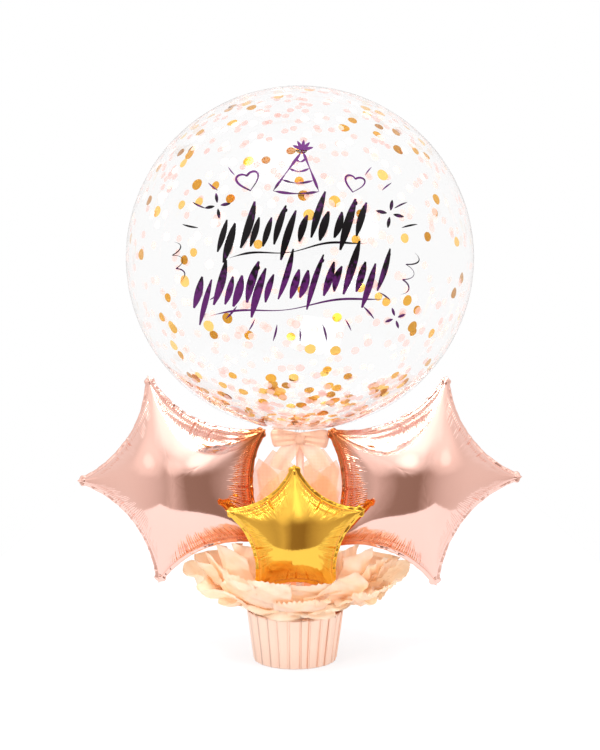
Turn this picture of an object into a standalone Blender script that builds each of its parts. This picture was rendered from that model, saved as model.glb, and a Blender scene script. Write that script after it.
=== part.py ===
"""A party balloon arrangement that stands on a pleated foil pot.

A clear bubble balloon sits on a slim tube, with a bow at its neck. Two large foil stars flank
the tube, a small foil star stands in front, and tissue paper spreads from the mouth of the pot.
Sizes are in metres, +Z is up, -Y is the front, and the origin is the middle of the pot's base.
"""

import math

import bmesh
import bpy
from mathutils import Vector

# The gap that pieces which touch keep between them
GAP = 0.0003

# Pot of foil card with knife pleats
POT_RIM_RADIUS = 0.0855
POT_BASE_RADIUS = 0.0735
POT_HEIGHT = 0.090
POT_WALL = 0.0008
POT_PLEATS = 25
POT_PLEAT_STEP = 0.0016
POT_FOOT_ROUND = 0.004
# Shares of one pleat's width with how far each is let in, as a share of the step
PLEAT_PROFILE = ((0.0, 0.0), (0.86, 0.35), (0.93, 1.0))
FOOT_CURVE_SHARE = 0.3

# Tube that carries the bubble, a little to the right of the pot's middle
TUBE_X = 0.0085
TUBE_RADIUS = 0.007

# Clear bubble balloon
BUBBLE_RADIUS = 0.297
BUBBLE_BASE_HEIGHT = 0.402
NECK_RADIUS = 0.0085
NECK_LENGTH = 0.014
BUBBLE_SEGMENTS = 32
BUBBLE_RINGS = 18

# Bow tied round the neck
BAND_WALL = 0.002
BAND_HEIGHT = 0.012
BAND_SEGMENTS = 24
KNOT_WIDTH = 0.018
KNOT_HEIGHT = 0.015
KNOT_DEPTH = 0.013
KNOT_ROUND = 0.004
LOOP_LENGTH = 0.046
LOOP_HEIGHT = 0.034
LOOP_DEPTH = 0.018
LOOP_WAIST = 0.010
LOOP_ROUND = 0.005
TAIL_LENGTH = 0.062
TAIL_WIDTH = 0.026
TAIL_LEAN = math.radians(38)
TAIL_THICKNESS = 0.0036
TAIL_ROUND = 0.0012

# What every foil star shares
STAR_TIPS = 5
SIDE_DENT = 0.146
SEAL_WIDTH = 0.0075
SEAL_THICKNESS = 0.0012
SIDE_STEPS = 4
BODY_RINGS = (0.93, 0.72, 0.40)

# Large stars, which lean their faces outwards
LEFT_STAR_RADIUS = 0.190
RIGHT_STAR_RADIUS = 0.195
LARGE_STAR_DEPTH = 0.125
# From the tube's axis to the inner lower tip of each
LEFT_STAR_GAP = 0.047
RIGHT_STAR_GAP = 0.039
# From the bubble's base down to each star's middle, as a share of its radius
LARGE_STAR_DROP = 0.458
LARGE_STAR_TURN = math.radians(10)
LARGE_STAR_FIRST_TIP = math.radians(110)
# The bubble presses on the inner upper tip of each large star
INNER_LOW_TIP = 3
PRESSED_TIP = 4
PRESSED_BEND = math.radians(-6.5)
PRESSED_SHARE = 0.90

# Small star in front
SMALL_STAR_RADIUS = 0.117
SMALL_STAR_DEPTH = 0.076
SMALL_STAR_X = 0.0011
SMALL_STAR_FORWARD = 0.0195
SMALL_STAR_FOOT_RISE = 0.0493
SMALL_STAR_FIRST_TIP = math.radians(90.5)

# Tissue paper: where each sheet comes out of the pot
PAPER_THICKNESS = 0.0010
SHEET_TUCK = 0.024
SHEET_INSET = 0.0180
SHEET_ARCH = 0.029
SHEET_LEAN = 0.003
SHEET_SAG_SHARE = 0.6
CORNER_SHARPNESS = 1.5
SHEET_GAP = math.radians(1.6)
SHEET_COLUMNS = 8
SHEET_ROWS = 5
RUFFLE_HEIGHT = 0.005
RUFFLES = 2.5
# name, its first and last bearing in degrees, how far its corner reaches beyond the rim and
# rises above it, and how far its edges reach beyond the rim
COLLAR_SHEETS = (
    ("tissue_left", 150, 186, 0.1185, 0.068, 0.0795),
    ("tissue_left_front", 186, 226, 0.0945, 0.060, 0.0645),
    ("tissue_front_left", 226, 266, 0.0725, 0.076, 0.0625),
    ("tissue_front_right", 266, 316, 0.0795, 0.076, 0.0625),
    ("tissue_right_front", 316, 356, 0.1045, 0.058, 0.0645),
    ("tissue_right", 356, 392, 0.1305, 0.062, 0.0795),
    ("tissue_back_right", 32, 90, 0.0795, 0.075, 0.0645),
    ("tissue_back_left", 90, 150, 0.0795, 0.075, 0.0645),
)

# Net sheets that stand behind the tube: how far out and how high each one's corner is
NET_THICKNESS = 0.0012
NET_FOOT_WIDTH = 0.062
NET_TUCK = 0.024
NET_BELOW_BUBBLE = 0.030
NET_CORNER_DROP = 0.027
NET_REACH = 0.078
NET_CLEARANCE = 0.012
NET_WAVE = 0.004
NET_WAVES = 1.5
NET_SPREAD_SHARE = 0.8
NET_OVERLAP_LOSS = 0.6
NET_COLUMNS = 6
NET_ROWS = 6

COLLECTION_NAME = "balloon_arrangement"


def clear_scene():
    """Remove what the startup file holds."""
    for obj in list(bpy.data.objects):
        bpy.data.objects.remove(obj, do_unlink=True)


def part_collection(name):
    """Make a collection in the scene."""
    collection = bpy.data.collections.new(name)
    bpy.context.scene.collection.children.link(collection)
    return collection


def finish(name, colour, roughness, metallic=0.0, alpha=1.0):
    """Make a Principled material."""
    material = bpy.data.materials.new(name)
    material.use_nodes = True
    shader = material.node_tree.nodes["Principled BSDF"]
    shader.inputs["Base Color"].default_value = (*colour, 1.0)
    shader.inputs["Roughness"].default_value = roughness
    shader.inputs["Metallic"].default_value = metallic
    shader.inputs["Alpha"].default_value = alpha
    return material


def add_part(name, mesh, collection, material):
    """Add a named object with its material to the collection."""
    obj = bpy.data.objects.new(name, mesh)
    collection.objects.link(obj)
    mesh.materials.clear()
    mesh.materials.append(material)
    return obj


def grid_mesh(name, rows, loop=False):
    """Make an open surface from rows of points; loop joins each row's last point to its first."""
    bm = bmesh.new()
    made = [[bm.verts.new(point) for point in row] for row in rows]
    columns = len(rows[0])
    for low, high in zip(made, made[1:]):
        for i in range(columns if loop else columns - 1):
            j = (i + 1) % columns
            bm.faces.new((low[i], low[j], high[j], high[i]))
    mesh = bpy.data.meshes.new(name)
    bm.to_mesh(mesh)
    bm.free()
    return mesh


def add_thickness(obj, thickness, offset=0.0):
    """Give an open surface its thickness."""
    solidify = obj.modifiers.new("thickness", "SOLIDIFY")
    solidify.thickness = thickness
    solidify.offset = offset
    return solidify


def union(obj, others):
    """Join closed shapes into one body."""
    for other in others:
        other.hide_render = True
        other.display_type = "WIRE"
        join = obj.modifiers.new(f"join_{other.name}", "BOOLEAN")
        join.operation = "UNION"
        join.object = other


def pleated_ring(radius, height, depth):
    """Points of one level of the pot's wall: flat panels, each ending in a folded step."""
    points = []
    pleat = math.tau / POT_PLEATS
    for i in range(POT_PLEATS):
        for share, inset in PLEAT_PROFILE:
            bearing = (i + share) * pleat
            reach = radius - inset * depth
            points.append((reach * math.cos(bearing), reach * math.sin(bearing), height))
    return points


def make_pot(collection):
    """A round pot, open at the top, with a flat base and a pleated wall."""
    foot_low = POT_BASE_RADIUS - POT_FOOT_ROUND
    foot_mid = POT_BASE_RADIUS - POT_FOOT_ROUND * FOOT_CURVE_SHARE
    mid_height = POT_FOOT_ROUND * FOOT_CURVE_SHARE
    rows = [
        pleated_ring(foot_low, 0.0, 0.0),
        pleated_ring(foot_mid, mid_height, POT_PLEAT_STEP / 2),
        pleated_ring(POT_BASE_RADIUS, POT_FOOT_ROUND, POT_PLEAT_STEP),
        pleated_ring(POT_RIM_RADIUS, POT_HEIGHT, POT_PLEAT_STEP),
    ]
    mesh = grid_mesh("pot", rows, loop=True)
    bm = bmesh.new()
    bm.from_mesh(mesh)
    bm.edges.ensure_lookup_table()
    inner = [edge for edge in bm.edges if edge.is_boundary and edge.verts[0].co.z < GAP]
    bmesh.ops.contextual_create(bm, geom=inner)
    bmesh.ops.recalc_face_normals(bm, faces=bm.faces)
    if sum(face.normal.z for face in bm.faces if len(face.verts) > 4) > 0:
        bmesh.ops.reverse_faces(bm, faces=bm.faces)
    bm.to_mesh(mesh)
    bm.free()
    pot = add_part("pot", mesh, collection, finish("foil_card", (0.93, 0.60, 0.47), 0.32, 0.8))
    add_thickness(pot, POT_WALL, offset=-1.0)
    return pot


def make_tube(collection):
    """The tube from the pot's floor up to the bubble's neck."""
    bottom = POT_WALL + GAP
    top = BUBBLE_BASE_HEIGHT - NECK_LENGTH - GAP
    curve = bpy.data.curves.new("stand_tube", "CURVE")
    curve.dimensions = "3D"
    curve.bevel_depth = TUBE_RADIUS
    curve.bevel_resolution = 2
    curve.use_fill_caps = True
    line = curve.splines.new("POLY")
    line.points.add(1)
    line.points[0].co = (0.0, 0.0, bottom, 1.0)
    line.points[1].co = (0.0, 0.0, top, 1.0)
    material = finish("tube_plastic", (0.96, 0.66, 0.55), 0.3)
    curve.materials.append(material)
    tube = bpy.data.objects.new("stand_tube", curve)
    tube.location.x = TUBE_X
    collection.objects.link(tube)
    return tube


def make_bubble(collection):
    """The bubble with its short neck, as one turned shape."""
    join_height = math.sqrt(BUBBLE_RADIUS**2 - NECK_RADIUS**2)
    centre = BUBBLE_BASE_HEIGHT + BUBBLE_RADIUS
    last = math.acos(-join_height / BUBBLE_RADIUS)
    profile = []
    for i in range(BUBBLE_RINGS + 1):
        angle = last * i / BUBBLE_RINGS
        profile.append((BUBBLE_RADIUS * math.sin(angle), centre + BUBBLE_RADIUS * math.cos(angle)))
    neck_bottom = BUBBLE_BASE_HEIGHT - NECK_LENGTH
    profile.append((NECK_RADIUS, neck_bottom))
    profile.append((0.0, neck_bottom))
    mesh = bpy.data.meshes.new("bubble_balloon")
    points = [(x, 0.0, z) for x, z in profile]
    mesh.from_pydata(points, [(i, i + 1) for i in range(len(points) - 1)], [])
    material = finish("bubble_film", (1.0, 1.0, 1.0), 0.03, alpha=0.2)
    bubble = add_part("bubble_balloon", mesh, collection, material)
    bubble.location.x = TUBE_X
    screw = bubble.modifiers.new("turn", "SCREW")
    screw.steps = BUBBLE_SEGMENTS
    screw.render_steps = BUBBLE_SEGMENTS
    screw.use_merge_vertices = True
    screw.merge_threshold = 0.0001
    return bubble


def side_circle(tip, following):
    """Centre and radius of the circle whose arc dents the side between two tips."""
    chord = following - tip
    dent = SIDE_DENT * chord.length
    radius = ((chord.length / 2) ** 2 + dent**2) / (2 * dent)
    outward = Vector((chord.y, -chord.x)).normalized()
    return (tip + following) / 2 + outward * (radius - dent), radius


def star_tips(radius, first_tip, pressed):
    """The star's seam tips in its own plane, anticlockwise."""
    tips = []
    for i in range(STAR_TIPS):
        angle = first_tip + i * math.tau / STAR_TIPS
        reach = radius - SEAL_WIDTH
        if pressed and i == PRESSED_TIP:
            angle += PRESSED_BEND
            reach *= PRESSED_SHARE
        tips.append(Vector((reach * math.cos(angle), reach * math.sin(angle))))
    return tips


def seam_points(tips, circles):
    """Points along the seam with the direction out of the star at each."""
    points = []
    for i, tip in enumerate(tips):
        centre, radius = circles[i]
        start = tip - centre
        end = tips[(i + 1) % len(tips)] - centre
        sweep = start.angle_signed(end)
        for step in range(SIDE_STEPS):
            angle = math.atan2(start.y, start.x) - sweep * step / SIDE_STEPS
            arm = Vector((math.cos(angle), math.sin(angle)))
            out = tip.normalized() if step == 0 else -arm
            points.append((centre + arm * radius, out))
    return points


def pillow_height(point, circles, crown, crown_value):
    """How far the inflated foil stands off the seam plane at a point."""
    reach = [max((point - centre).length - radius, 0.0) for centre, radius in circles]
    pairs = [reach[i - 1] * reach[i] for i in range(len(reach))]
    if min(pairs) <= 1e-12:
        return 0.0
    value = sum(pair**-2 for pair in pairs) ** -0.5
    return crown * math.sqrt(value / crown_value)


def make_star(name, collection, radius, depth, first_tip, material, pressed=False, mirrored=False):
    """A foil star: half of it from a coarse cage in the XZ plane, mirrored, then subdivided."""
    tips = star_tips(radius, first_tip, pressed)
    circles = [side_circle(tip, tips[(i + 1) % len(tips)]) for i, tip in enumerate(tips)]
    reach = [centre.length - circle_radius for centre, circle_radius in circles]
    middle = sum((reach[i - 1] * reach[i]) ** -2 for i in range(len(reach))) ** -0.5
    seam = seam_points(tips, circles)
    half_seal = SEAL_THICKNESS / 2
    side = -1 if mirrored else 1
    edge = [point + out * SEAL_WIDTH for point, out in seam]
    rows = [
        [(side * point.x, 0.0, point.y) for point in edge],
        [(side * point.x, -half_seal, point.y) for point, _ in seam],
    ]
    for share in BODY_RINGS:
        row = []
        for point, _ in seam:
            inner = point * share
            lift = half_seal + pillow_height(inner, circles, depth / 2 - half_seal, middle)
            row.append((side * inner.x, -lift, inner.y))
        rows.append(row)
    mesh = grid_mesh(name, rows, loop=True)
    bm = bmesh.new()
    bm.from_mesh(mesh)
    crown = bm.verts.new((0.0, -depth / 2, 0.0))
    bm.verts.ensure_lookup_table()
    count = len(seam)
    last_ring = bm.verts[(len(rows) - 1) * count : len(rows) * count]
    for i, vert in enumerate(last_ring):
        bm.faces.new((vert, last_ring[(i + 1) % count], crown))
    bmesh.ops.recalc_face_normals(bm, faces=bm.faces)
    edge_crease = bm.edges.layers.float.new("crease_edge")
    corner_crease = bm.verts.layers.float.new("crease_vert")
    for ring in range(2):
        for i in range(count):
            here = bm.verts[ring * count + i]
            after = bm.verts[ring * count + (i + 1) % count]
            bm.edges.get((here, after))[edge_crease] = 1.0
            if i % SIDE_STEPS == 0:
                here[corner_crease] = 1.0
    bm.to_mesh(mesh)
    bm.free()
    mesh.shade_smooth()
    star = add_part(name, mesh, collection, material)
    mirror = star.modifiers.new("back", "MIRROR")
    mirror.use_axis = (False, True, False)
    mirror.merge_threshold = 0.00001
    smooth = star.modifiers.new("inflate", "SUBSURF")
    smooth.levels = 1
    smooth.render_levels = 1
    return star


def make_stars(collection):
    """Two large rose stars and the small gold one."""
    rose = finish("rose_foil", (0.90, 0.52, 0.42), 0.12, 1.0)
    gold = finish("gold_foil", (1.0, 0.62, 0.12), 0.10, 1.0)
    for name, side, radius, gap in (
        ("star_left", -1, LEFT_STAR_RADIUS, LEFT_STAR_GAP),
        ("star_right", 1, RIGHT_STAR_RADIUS, RIGHT_STAR_GAP),
    ):
        star = make_star(
            name,
            collection,
            radius,
            LARGE_STAR_DEPTH,
            LARGE_STAR_FIRST_TIP,
            rose,
            pressed=True,
            mirrored=side > 0,
        )
        inner_tip = LARGE_STAR_FIRST_TIP + INNER_LOW_TIP * math.tau / STAR_TIPS
        inner_reach = radius * math.cos(inner_tip) * math.cos(LARGE_STAR_TURN)
        star.location.x = TUBE_X + side * (gap + inner_reach)
        star.location.z = BUBBLE_BASE_HEIGHT - LARGE_STAR_DROP * radius
        star.rotation_euler.z = side * LARGE_STAR_TURN
    small = make_star(
        "star_front", collection, SMALL_STAR_RADIUS, SMALL_STAR_DEPTH, SMALL_STAR_FIRST_TIP, gold
    )
    tips_below = SMALL_STAR_RADIUS * math.cos(math.pi / STAR_TIPS)
    small.location.x = SMALL_STAR_X
    small.location.y = -(POT_RIM_RADIUS + SMALL_STAR_FORWARD)
    small.location.z = POT_HEIGHT + SMALL_STAR_FOOT_RISE + tips_below


def collar_point(bearing, share, reach, height):
    """A point on a sheet: it leaves the pot's mouth, bends over the rim and rises outwards."""
    foot = (POT_RIM_RADIUS - SHEET_INSET, POT_HEIGHT - SHEET_TUCK)
    above = (foot[0] + SHEET_LEAN, POT_HEIGHT + SHEET_ARCH)
    low = ((POT_RIM_RADIUS + reach) / 2, POT_HEIGHT + SHEET_ARCH * SHEET_SAG_SHARE)
    corners = (foot, above, low, (reach, height))
    weights = (
        (1 - share) ** 3,
        3 * share * (1 - share) ** 2,
        3 * share**2 * (1 - share),
        share**3,
    )
    out = sum(w * c[0] for w, c in zip(weights, corners))
    up = sum(w * c[1] for w, c in zip(weights, corners))
    return Vector((out * math.cos(bearing), out * math.sin(bearing), up))


def make_collar_sheet(name, first, last, corner, rise, edge, collection, material):
    """One tissue sheet, which fills its own bearings of the collar and has a corner in the middle."""
    start = math.radians(first) + SHEET_GAP / 2
    end = math.radians(last) - SHEET_GAP / 2
    rows = []
    for row in range(SHEET_ROWS + 1):
        share = row / SHEET_ROWS
        points = []
        for column in range(SHEET_COLUMNS + 1):
            across = column / SHEET_COLUMNS
            side = abs(2 * across - 1) ** CORNER_SHARPNESS
            reach = POT_RIM_RADIUS + corner + (edge - corner) * side
            wave = RUFFLE_HEIGHT * share**2 * math.sin(math.tau * RUFFLES * across)
            height = POT_HEIGHT + rise + wave
            bearing = start + (end - start) * across
            points.append(collar_point(bearing, share, reach, height))
        rows.append(points)
    mesh = grid_mesh(name, rows)
    mesh.shade_smooth()
    sheet = add_part(name, mesh, collection, material)
    add_thickness(sheet, PAPER_THICKNESS)


def make_collar(collection):
    """The ring of tissue sheets round the pot's mouth."""
    material = finish("tissue_paper", (0.98, 0.80, 0.62), 0.9)
    for name, first, last, corner, rise, edge in COLLAR_SHEETS:
        make_collar_sheet(name, first, last, corner, rise, edge, collection, material)


def make_net_sheet(name, side, layer, collection, material):
    """A standing sheet of net: narrow in the pot, spread above, with a corner at its outer edge."""
    depth = TUBE_RADIUS + NET_CLEARANCE * layer
    foot = POT_HEIGHT - NET_TUCK
    highest = BUBBLE_BASE_HEIGHT - NET_BELOW_BUBBLE
    rows = []
    for row in range(NET_ROWS + 1):
        share = row / NET_ROWS
        half_foot = NET_FOOT_WIDTH / 2
        spread = math.sin(min(share / NET_SPREAD_SHARE, 1.0) * math.pi / 2)
        outer = half_foot + (NET_REACH - half_foot) * spread
        inner = -half_foot * (1 - NET_OVERLAP_LOSS * share)
        points = []
        for column in range(NET_COLUMNS + 1):
            across = column / NET_COLUMNS
            top = highest - NET_CORNER_DROP * across
            up = foot + (top - foot) * share
            wave = NET_WAVE * share * math.sin(math.tau * (NET_WAVES * across + layer / 2))
            x = TUBE_X * share + side * (inner + (outer - inner) * across)
            points.append((x, depth + wave, up))
        rows.append(points)
    mesh = grid_mesh(name, rows)
    mesh.shade_smooth()
    sheet = add_part(name, mesh, collection, material)
    add_thickness(sheet, NET_THICKNESS)


def make_net(collection):
    """Two sheets of net behind the tube, one beyond the other."""
    material = finish("net", (0.97, 0.76, 0.60), 0.8)
    make_net_sheet("net_left", -1, 1, collection, material)
    make_net_sheet("net_right", 1, 2, collection, material)


def tapered_block(name, collection, size, inner_share, bevel):
    """A rounded block along +X whose inner end is narrower than its outer end."""
    bm = bmesh.new()
    bmesh.ops.create_cube(bm, size=1.0)
    for vert in bm.verts:
        share = inner_share if vert.co.x < 0 else 1.0
        vert.co.x = (vert.co.x + 0.5) * size[0]
        vert.co.y *= size[1] * share
        vert.co.z *= size[2] * share
    mesh = bpy.data.meshes.new(name)
    bm.to_mesh(mesh)
    bm.free()
    block = bpy.data.objects.new(name, mesh)
    collection.objects.link(block)
    rounding = block.modifiers.new("round", "BEVEL")
    rounding.width = bevel
    rounding.segments = 2
    return block


def make_bow(collection, helpers):
    """Band, knot, two loops and two tails of one ribbon, joined into one body."""
    material = finish("organza_ribbon", (0.98, 0.76, 0.62), 0.6)
    band_inner = max(NECK_RADIUS, TUBE_RADIUS) + GAP
    band_outer = band_inner + BAND_WALL
    height = BUBBLE_BASE_HEIGHT - NECK_LENGTH
    low, high = -BAND_HEIGHT / 2, BAND_HEIGHT / 2
    mesh = bpy.data.meshes.new("bow")
    points = [
        (band_outer, 0.0, high),
        (band_outer, 0.0, low),
        (band_inner, 0.0, low),
        (band_inner, 0.0, high),
    ]
    mesh.from_pydata(points, [(0, 1), (1, 2), (2, 3), (3, 0)], [])
    bow = add_part("bow", mesh, collection, material)
    bow.location = (TUBE_X, 0.0, height)
    turn = bow.modifiers.new("turn", "SCREW")
    turn.steps = BAND_SEGMENTS
    turn.render_steps = BAND_SEGMENTS
    turn.use_merge_vertices = True
    turn.merge_threshold = 0.0001
    front = -(band_inner + BAND_WALL / 2 + KNOT_DEPTH / 2)
    knot = tapered_block("bow_knot", helpers, (KNOT_WIDTH, KNOT_DEPTH, KNOT_HEIGHT), 1.0, KNOT_ROUND)
    knot.location = (TUBE_X - KNOT_WIDTH / 2, front, height)
    pieces = [knot]
    for label, side in (("left", -1), ("right", 1)):
        loop = tapered_block(
            f"bow_loop_{label}",
            helpers,
            (LOOP_LENGTH, LOOP_DEPTH, LOOP_HEIGHT),
            LOOP_WAIST / LOOP_HEIGHT,
            LOOP_ROUND,
        )
        loop.location = (TUBE_X, front, height)
        loop.rotation_euler.z = 0.0 if side > 0 else math.pi
        tail = tapered_block(
            f"bow_tail_{label}",
            helpers,
            (TAIL_LENGTH, TAIL_THICKNESS, TAIL_WIDTH),
            LOOP_WAIST / TAIL_WIDTH,
            TAIL_ROUND,
        )
        tail.location = (TUBE_X, front, height)
        tail.rotation_euler.y = math.pi / 2 + side * -TAIL_LEAN
        pieces += [loop, tail]
    union(bow, pieces)
    return bow


def main():
    """Build every piece of the arrangement."""
    clear_scene()
    collection = part_collection(COLLECTION_NAME)
    helpers = part_collection("bow_shapes")
    make_pot(collection)
    make_tube(collection)
    make_bubble(collection)
    make_bow(collection, helpers)
    make_stars(collection)
    make_collar(collection)
    make_net(collection)


main()
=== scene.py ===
import logging
import math
from dataclasses import dataclass, field
from enum import Enum
from functools import partial
from typing import Any, Callable, Iterable, Mapping, Sequence

import bpy
import numpy as np
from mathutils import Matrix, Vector, noise


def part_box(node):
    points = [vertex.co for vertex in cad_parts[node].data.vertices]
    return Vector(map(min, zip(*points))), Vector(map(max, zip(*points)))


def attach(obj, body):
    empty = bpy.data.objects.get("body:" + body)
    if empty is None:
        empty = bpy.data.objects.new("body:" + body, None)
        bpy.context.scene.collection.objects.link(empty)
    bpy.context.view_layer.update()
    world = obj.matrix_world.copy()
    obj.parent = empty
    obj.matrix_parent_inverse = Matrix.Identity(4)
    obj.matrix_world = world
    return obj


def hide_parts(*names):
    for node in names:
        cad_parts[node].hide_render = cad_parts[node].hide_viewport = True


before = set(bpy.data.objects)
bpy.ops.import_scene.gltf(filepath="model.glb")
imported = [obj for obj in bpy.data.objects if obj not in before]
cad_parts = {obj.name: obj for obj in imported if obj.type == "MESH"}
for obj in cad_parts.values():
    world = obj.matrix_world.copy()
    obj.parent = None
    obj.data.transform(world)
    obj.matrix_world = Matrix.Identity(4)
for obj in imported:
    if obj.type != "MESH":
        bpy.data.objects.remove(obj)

# Looks of a party balloon arrangement: a confetti bubble on a tube, foil stars, tissue and a
# pleated pot. Sizes are in metres, +Z is up and -Y is the front, as in the frame.

LOG = logging.getLogger("balloon_arrangement")
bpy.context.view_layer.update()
BODY = "root"
MM = 0.001
WHITE = (1.0, 1.0, 1.0, 1.0)
Adder = Callable[..., bpy.types.Node]


def linear(hex_colour: str) -> tuple[float, ...]:
    """Turn an sRGB hex colour into the linear values that a shader takes.

    Args:
        hex_colour: Six hex digits.

    Returns:
        Linear red, green and blue, and an alpha of 1.
    """
    channels = [int(hex_colour[start : start + 2], 16) / 255 for start in (0, 2, 4)]
    return (*(c / 12.92 if c <= 0.04045 else ((c + 0.055) / 1.055) ** 2.4 for c in channels), 1.0)


def smoothstep(low: float, high: float, value: np.ndarray) -> np.ndarray:
    """Rise smoothly from 0 where the value is low to 1 where it is high."""
    share = np.clip((value - low) / (high - low), 0.0, 1.0)
    return share * share * (3 - 2 * share)


def bell(offset: np.ndarray, width: float) -> np.ndarray:
    """Give the height of a smooth hump of height 1, by the offset from its middle."""
    return np.exp(-((offset / width) ** 2))


def unit(vectors: np.ndarray) -> np.ndarray:
    """Scale each vector on the last axis to length 1."""
    return vectors / np.maximum(np.linalg.norm(vectors, axis=-1, keepdims=True), 1e-12)


def crease(phase: np.ndarray, sharpness: float) -> np.ndarray:
    """Give a wave of straight slopes, with tighter bends as sharpness nears 1."""
    return np.arcsin(sharpness * np.sin(phase)) / math.asin(sharpness)


def upright(flat: np.ndarray, depth: Any) -> np.ndarray:
    """Stand the points of a flat drawing up at the depth given."""
    return np.stack([flat[..., 0], np.broadcast_to(depth, flat.shape[:-1]), flat[..., 1]], axis=-1)


def around(reach: Any, bearing: np.ndarray, height: Any, middle: Sequence[float] = (0.0, 0.0)) -> np.ndarray:
    """Place points round an upright axis.

    Args:
        reach: Their distance from the axis.
        bearing: Their bearing, in radians.
        height: Their height.
        middle: Where the axis stands.

    Returns:
        The points.
    """
    x, y = middle[0] + reach * np.cos(bearing), middle[1] + reach * np.sin(bearing)
    return np.stack(np.broadcast_arrays(x, y, height), axis=-1)


def spans(rows: int, columns: int) -> tuple[np.ndarray, np.ndarray]:
    """Lay out a sheet: shares from 0 to 1 down its rows, and from -1 to 1 across its columns."""
    return np.linspace(0, 1, rows)[:, None], np.linspace(-1, 1, columns)[None]


def grid_normals(grid: np.ndarray, loop: bool) -> np.ndarray:
    """Work out the direction that a grid of points faces at each point.

    Args:
        grid: Points as rows, columns and 3 values.
        loop: Whether the last column joins the first.

    Returns:
        A unit vector for each point, by the right hand from columns to rows.
    """
    along = (np.roll(grid, -1, axis=1) - np.roll(grid, 1, axis=1)) / 2 if loop else np.gradient(grid, axis=1)
    return unit(np.cross(along, np.gradient(grid, axis=0)))


class MeshDraft:
    """The points and faces of one piece, gathered part by part."""

    def __init__(self) -> None:
        """Start an empty draft."""
        self.points: list[np.ndarray] = []
        self.faces: list[tuple[int, ...]] = []
        self.count = 0

    def add_points(self, points: np.ndarray) -> int:
        """Add points.

        Args:
            points: Any array whose last axis is x, y and z.

        Returns:
            The index of the first one.
        """
        start = self.count
        self.points.append(np.asarray(points, float).reshape(-1, 3))
        self.count += len(self.points[-1])
        return start

    def add_faces(self, faces: Iterable[tuple[int, ...]], flip: bool) -> None:
        """Add faces, turned the other way round if they are to flip."""
        self.faces.extend(face[::-1] if flip else face for face in faces)

    def join_rings(
        self, low: int, low_count: int, high: int, high_count: int, flip: bool = False, loop: bool = True
    ) -> None:
        """Join two rows of points, of which the second has as many points or half as many.

        Args:
            low: The first row's first point.
            low_count: How many points the first row has.
            high: The second row's first point.
            high_count: How many points the second row has.
            flip: Whether the faces turn the other way round.
            loop: Whether the rows are rings.
        """
        made: list[tuple[int, ...]] = []
        for i in range(high_count if loop else high_count - 1):
            after = (i + 1) % high_count
            if low_count == high_count:
                made.append((low + i, low + after, high + after, high + i))
                continue
            first, last = low + 2 * i, low + (2 * i + 2) % low_count
            made += [(first, first + 1, high + i), (first + 1, high + after, high + i)]
            made.append((first + 1, last, high + after))
        self.add_faces(made, flip)

    def add_grid(self, grid: np.ndarray, loop: bool = False, flip: bool = False) -> int:
        """Add a surface from rows of points.

        Args:
            grid: Points as rows, columns and 3 values.
            loop: Whether the last column joins the first.
            flip: Whether the faces turn the other way round.

        Returns:
            The index of the grid's first point.
        """
        rows, columns = grid.shape[:2]
        start = self.add_points(grid)
        for row in range(rows - 1):
            low = start + row * columns
            self.join_rings(low, columns, low + columns, columns, flip, loop)
        return start

    def close_ring(self, start: int, count: int, middle: np.ndarray, flip: bool = False) -> None:
        """Close a ring with a fan of faces round a middle point.

        Args:
            start: The ring's first point.
            count: How many points it has.
            middle: The middle point.
            flip: Whether the faces turn the other way round.
        """
        hub = self.add_points(middle)
        self.add_faces([(start + i, start + (i + 1) % count, hub) for i in range(count)], flip)

    def make(
        self,
        name: str,
        material: bpy.types.Material,
        slot: str,
        nodes: Sequence[str] = (),
        wall: float = 0.0,
    ) -> bpy.types.Object:
        """Make the finished piece, tie it to the frame and report it.

        Args:
            name: Its name.
            material: Its finish.
            slot: The record's material slot; not used.
            nodes: The frame's nodes that it stands for.
            wall: The thickness that it grows inwards, or 0 for none.

        Returns:
            The piece, smooth shaded.
        """
        mesh = bpy.data.meshes.new(name)
        mesh.from_pydata(np.concatenate(self.points).tolist(), [], self.faces)
        mesh.materials.append(material)
        mesh.shade_smooth()
        obj = bpy.data.objects.new(name, mesh)
        bpy.context.scene.collection.objects.link(obj)
        if wall:
            solid = obj.modifiers.new("wall", "SOLIDIFY")
            solid.thickness = wall
            solid.offset = -1.0
        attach(obj, BODY)
        if nodes:
            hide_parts(*nodes)
        LOG.info("%s: %d faces, stands for %s", name, len(mesh.polygons), ", ".join(nodes) or "none")
        return obj


def add_node(
    tree: bpy.types.NodeTree,
    kind: str,
    inputs: Mapping[Any, Any] | None = None,
    stops: Mapping[float, Any] | None = None,
    **settings: Any,
) -> bpy.types.Node:
    """Add a node with its settings, values and links.

    Args:
        tree: The node tree.
        kind: The node's type, without the word that they all start with.
        inputs: For each input, by name or number, a value or the node or socket that feeds it.
        stops: A colour ramp's colours by their places, as hex or as linear values.
        **settings: The node's own settings.

    Returns:
        The node.
    """
    node = tree.nodes.new(f"ShaderNode{kind}")
    for name, value in settings.items():
        setattr(node, name, value)
    for name, value in (inputs or {}).items():
        source = value.outputs[0] if isinstance(value, bpy.types.Node) else value
        if isinstance(source, bpy.types.NodeSocket):
            tree.links.new(source, node.inputs[name])
        else:
            node.inputs[name].default_value = source
    if stops:
        elements = node.color_ramp.elements
        elements.remove(elements[-1])
        for number, (place, colour) in enumerate(stops.items()):
            element = elements.new(place) if number else elements[0]
            element.position = place
            element.color = linear(colour) if isinstance(colour, str) else (*colour, 1.0)
    return node


def node_adder(owner: bpy.types.Material | bpy.types.World) -> Adder:
    """Empty the nodes of a material or a world.

    Args:
        owner: The material or the world.

    Returns:
        The function that adds a node to it.
    """
    owner.use_nodes = True
    owner.node_tree.nodes.clear()
    return partial(add_node, owner.node_tree)


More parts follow.
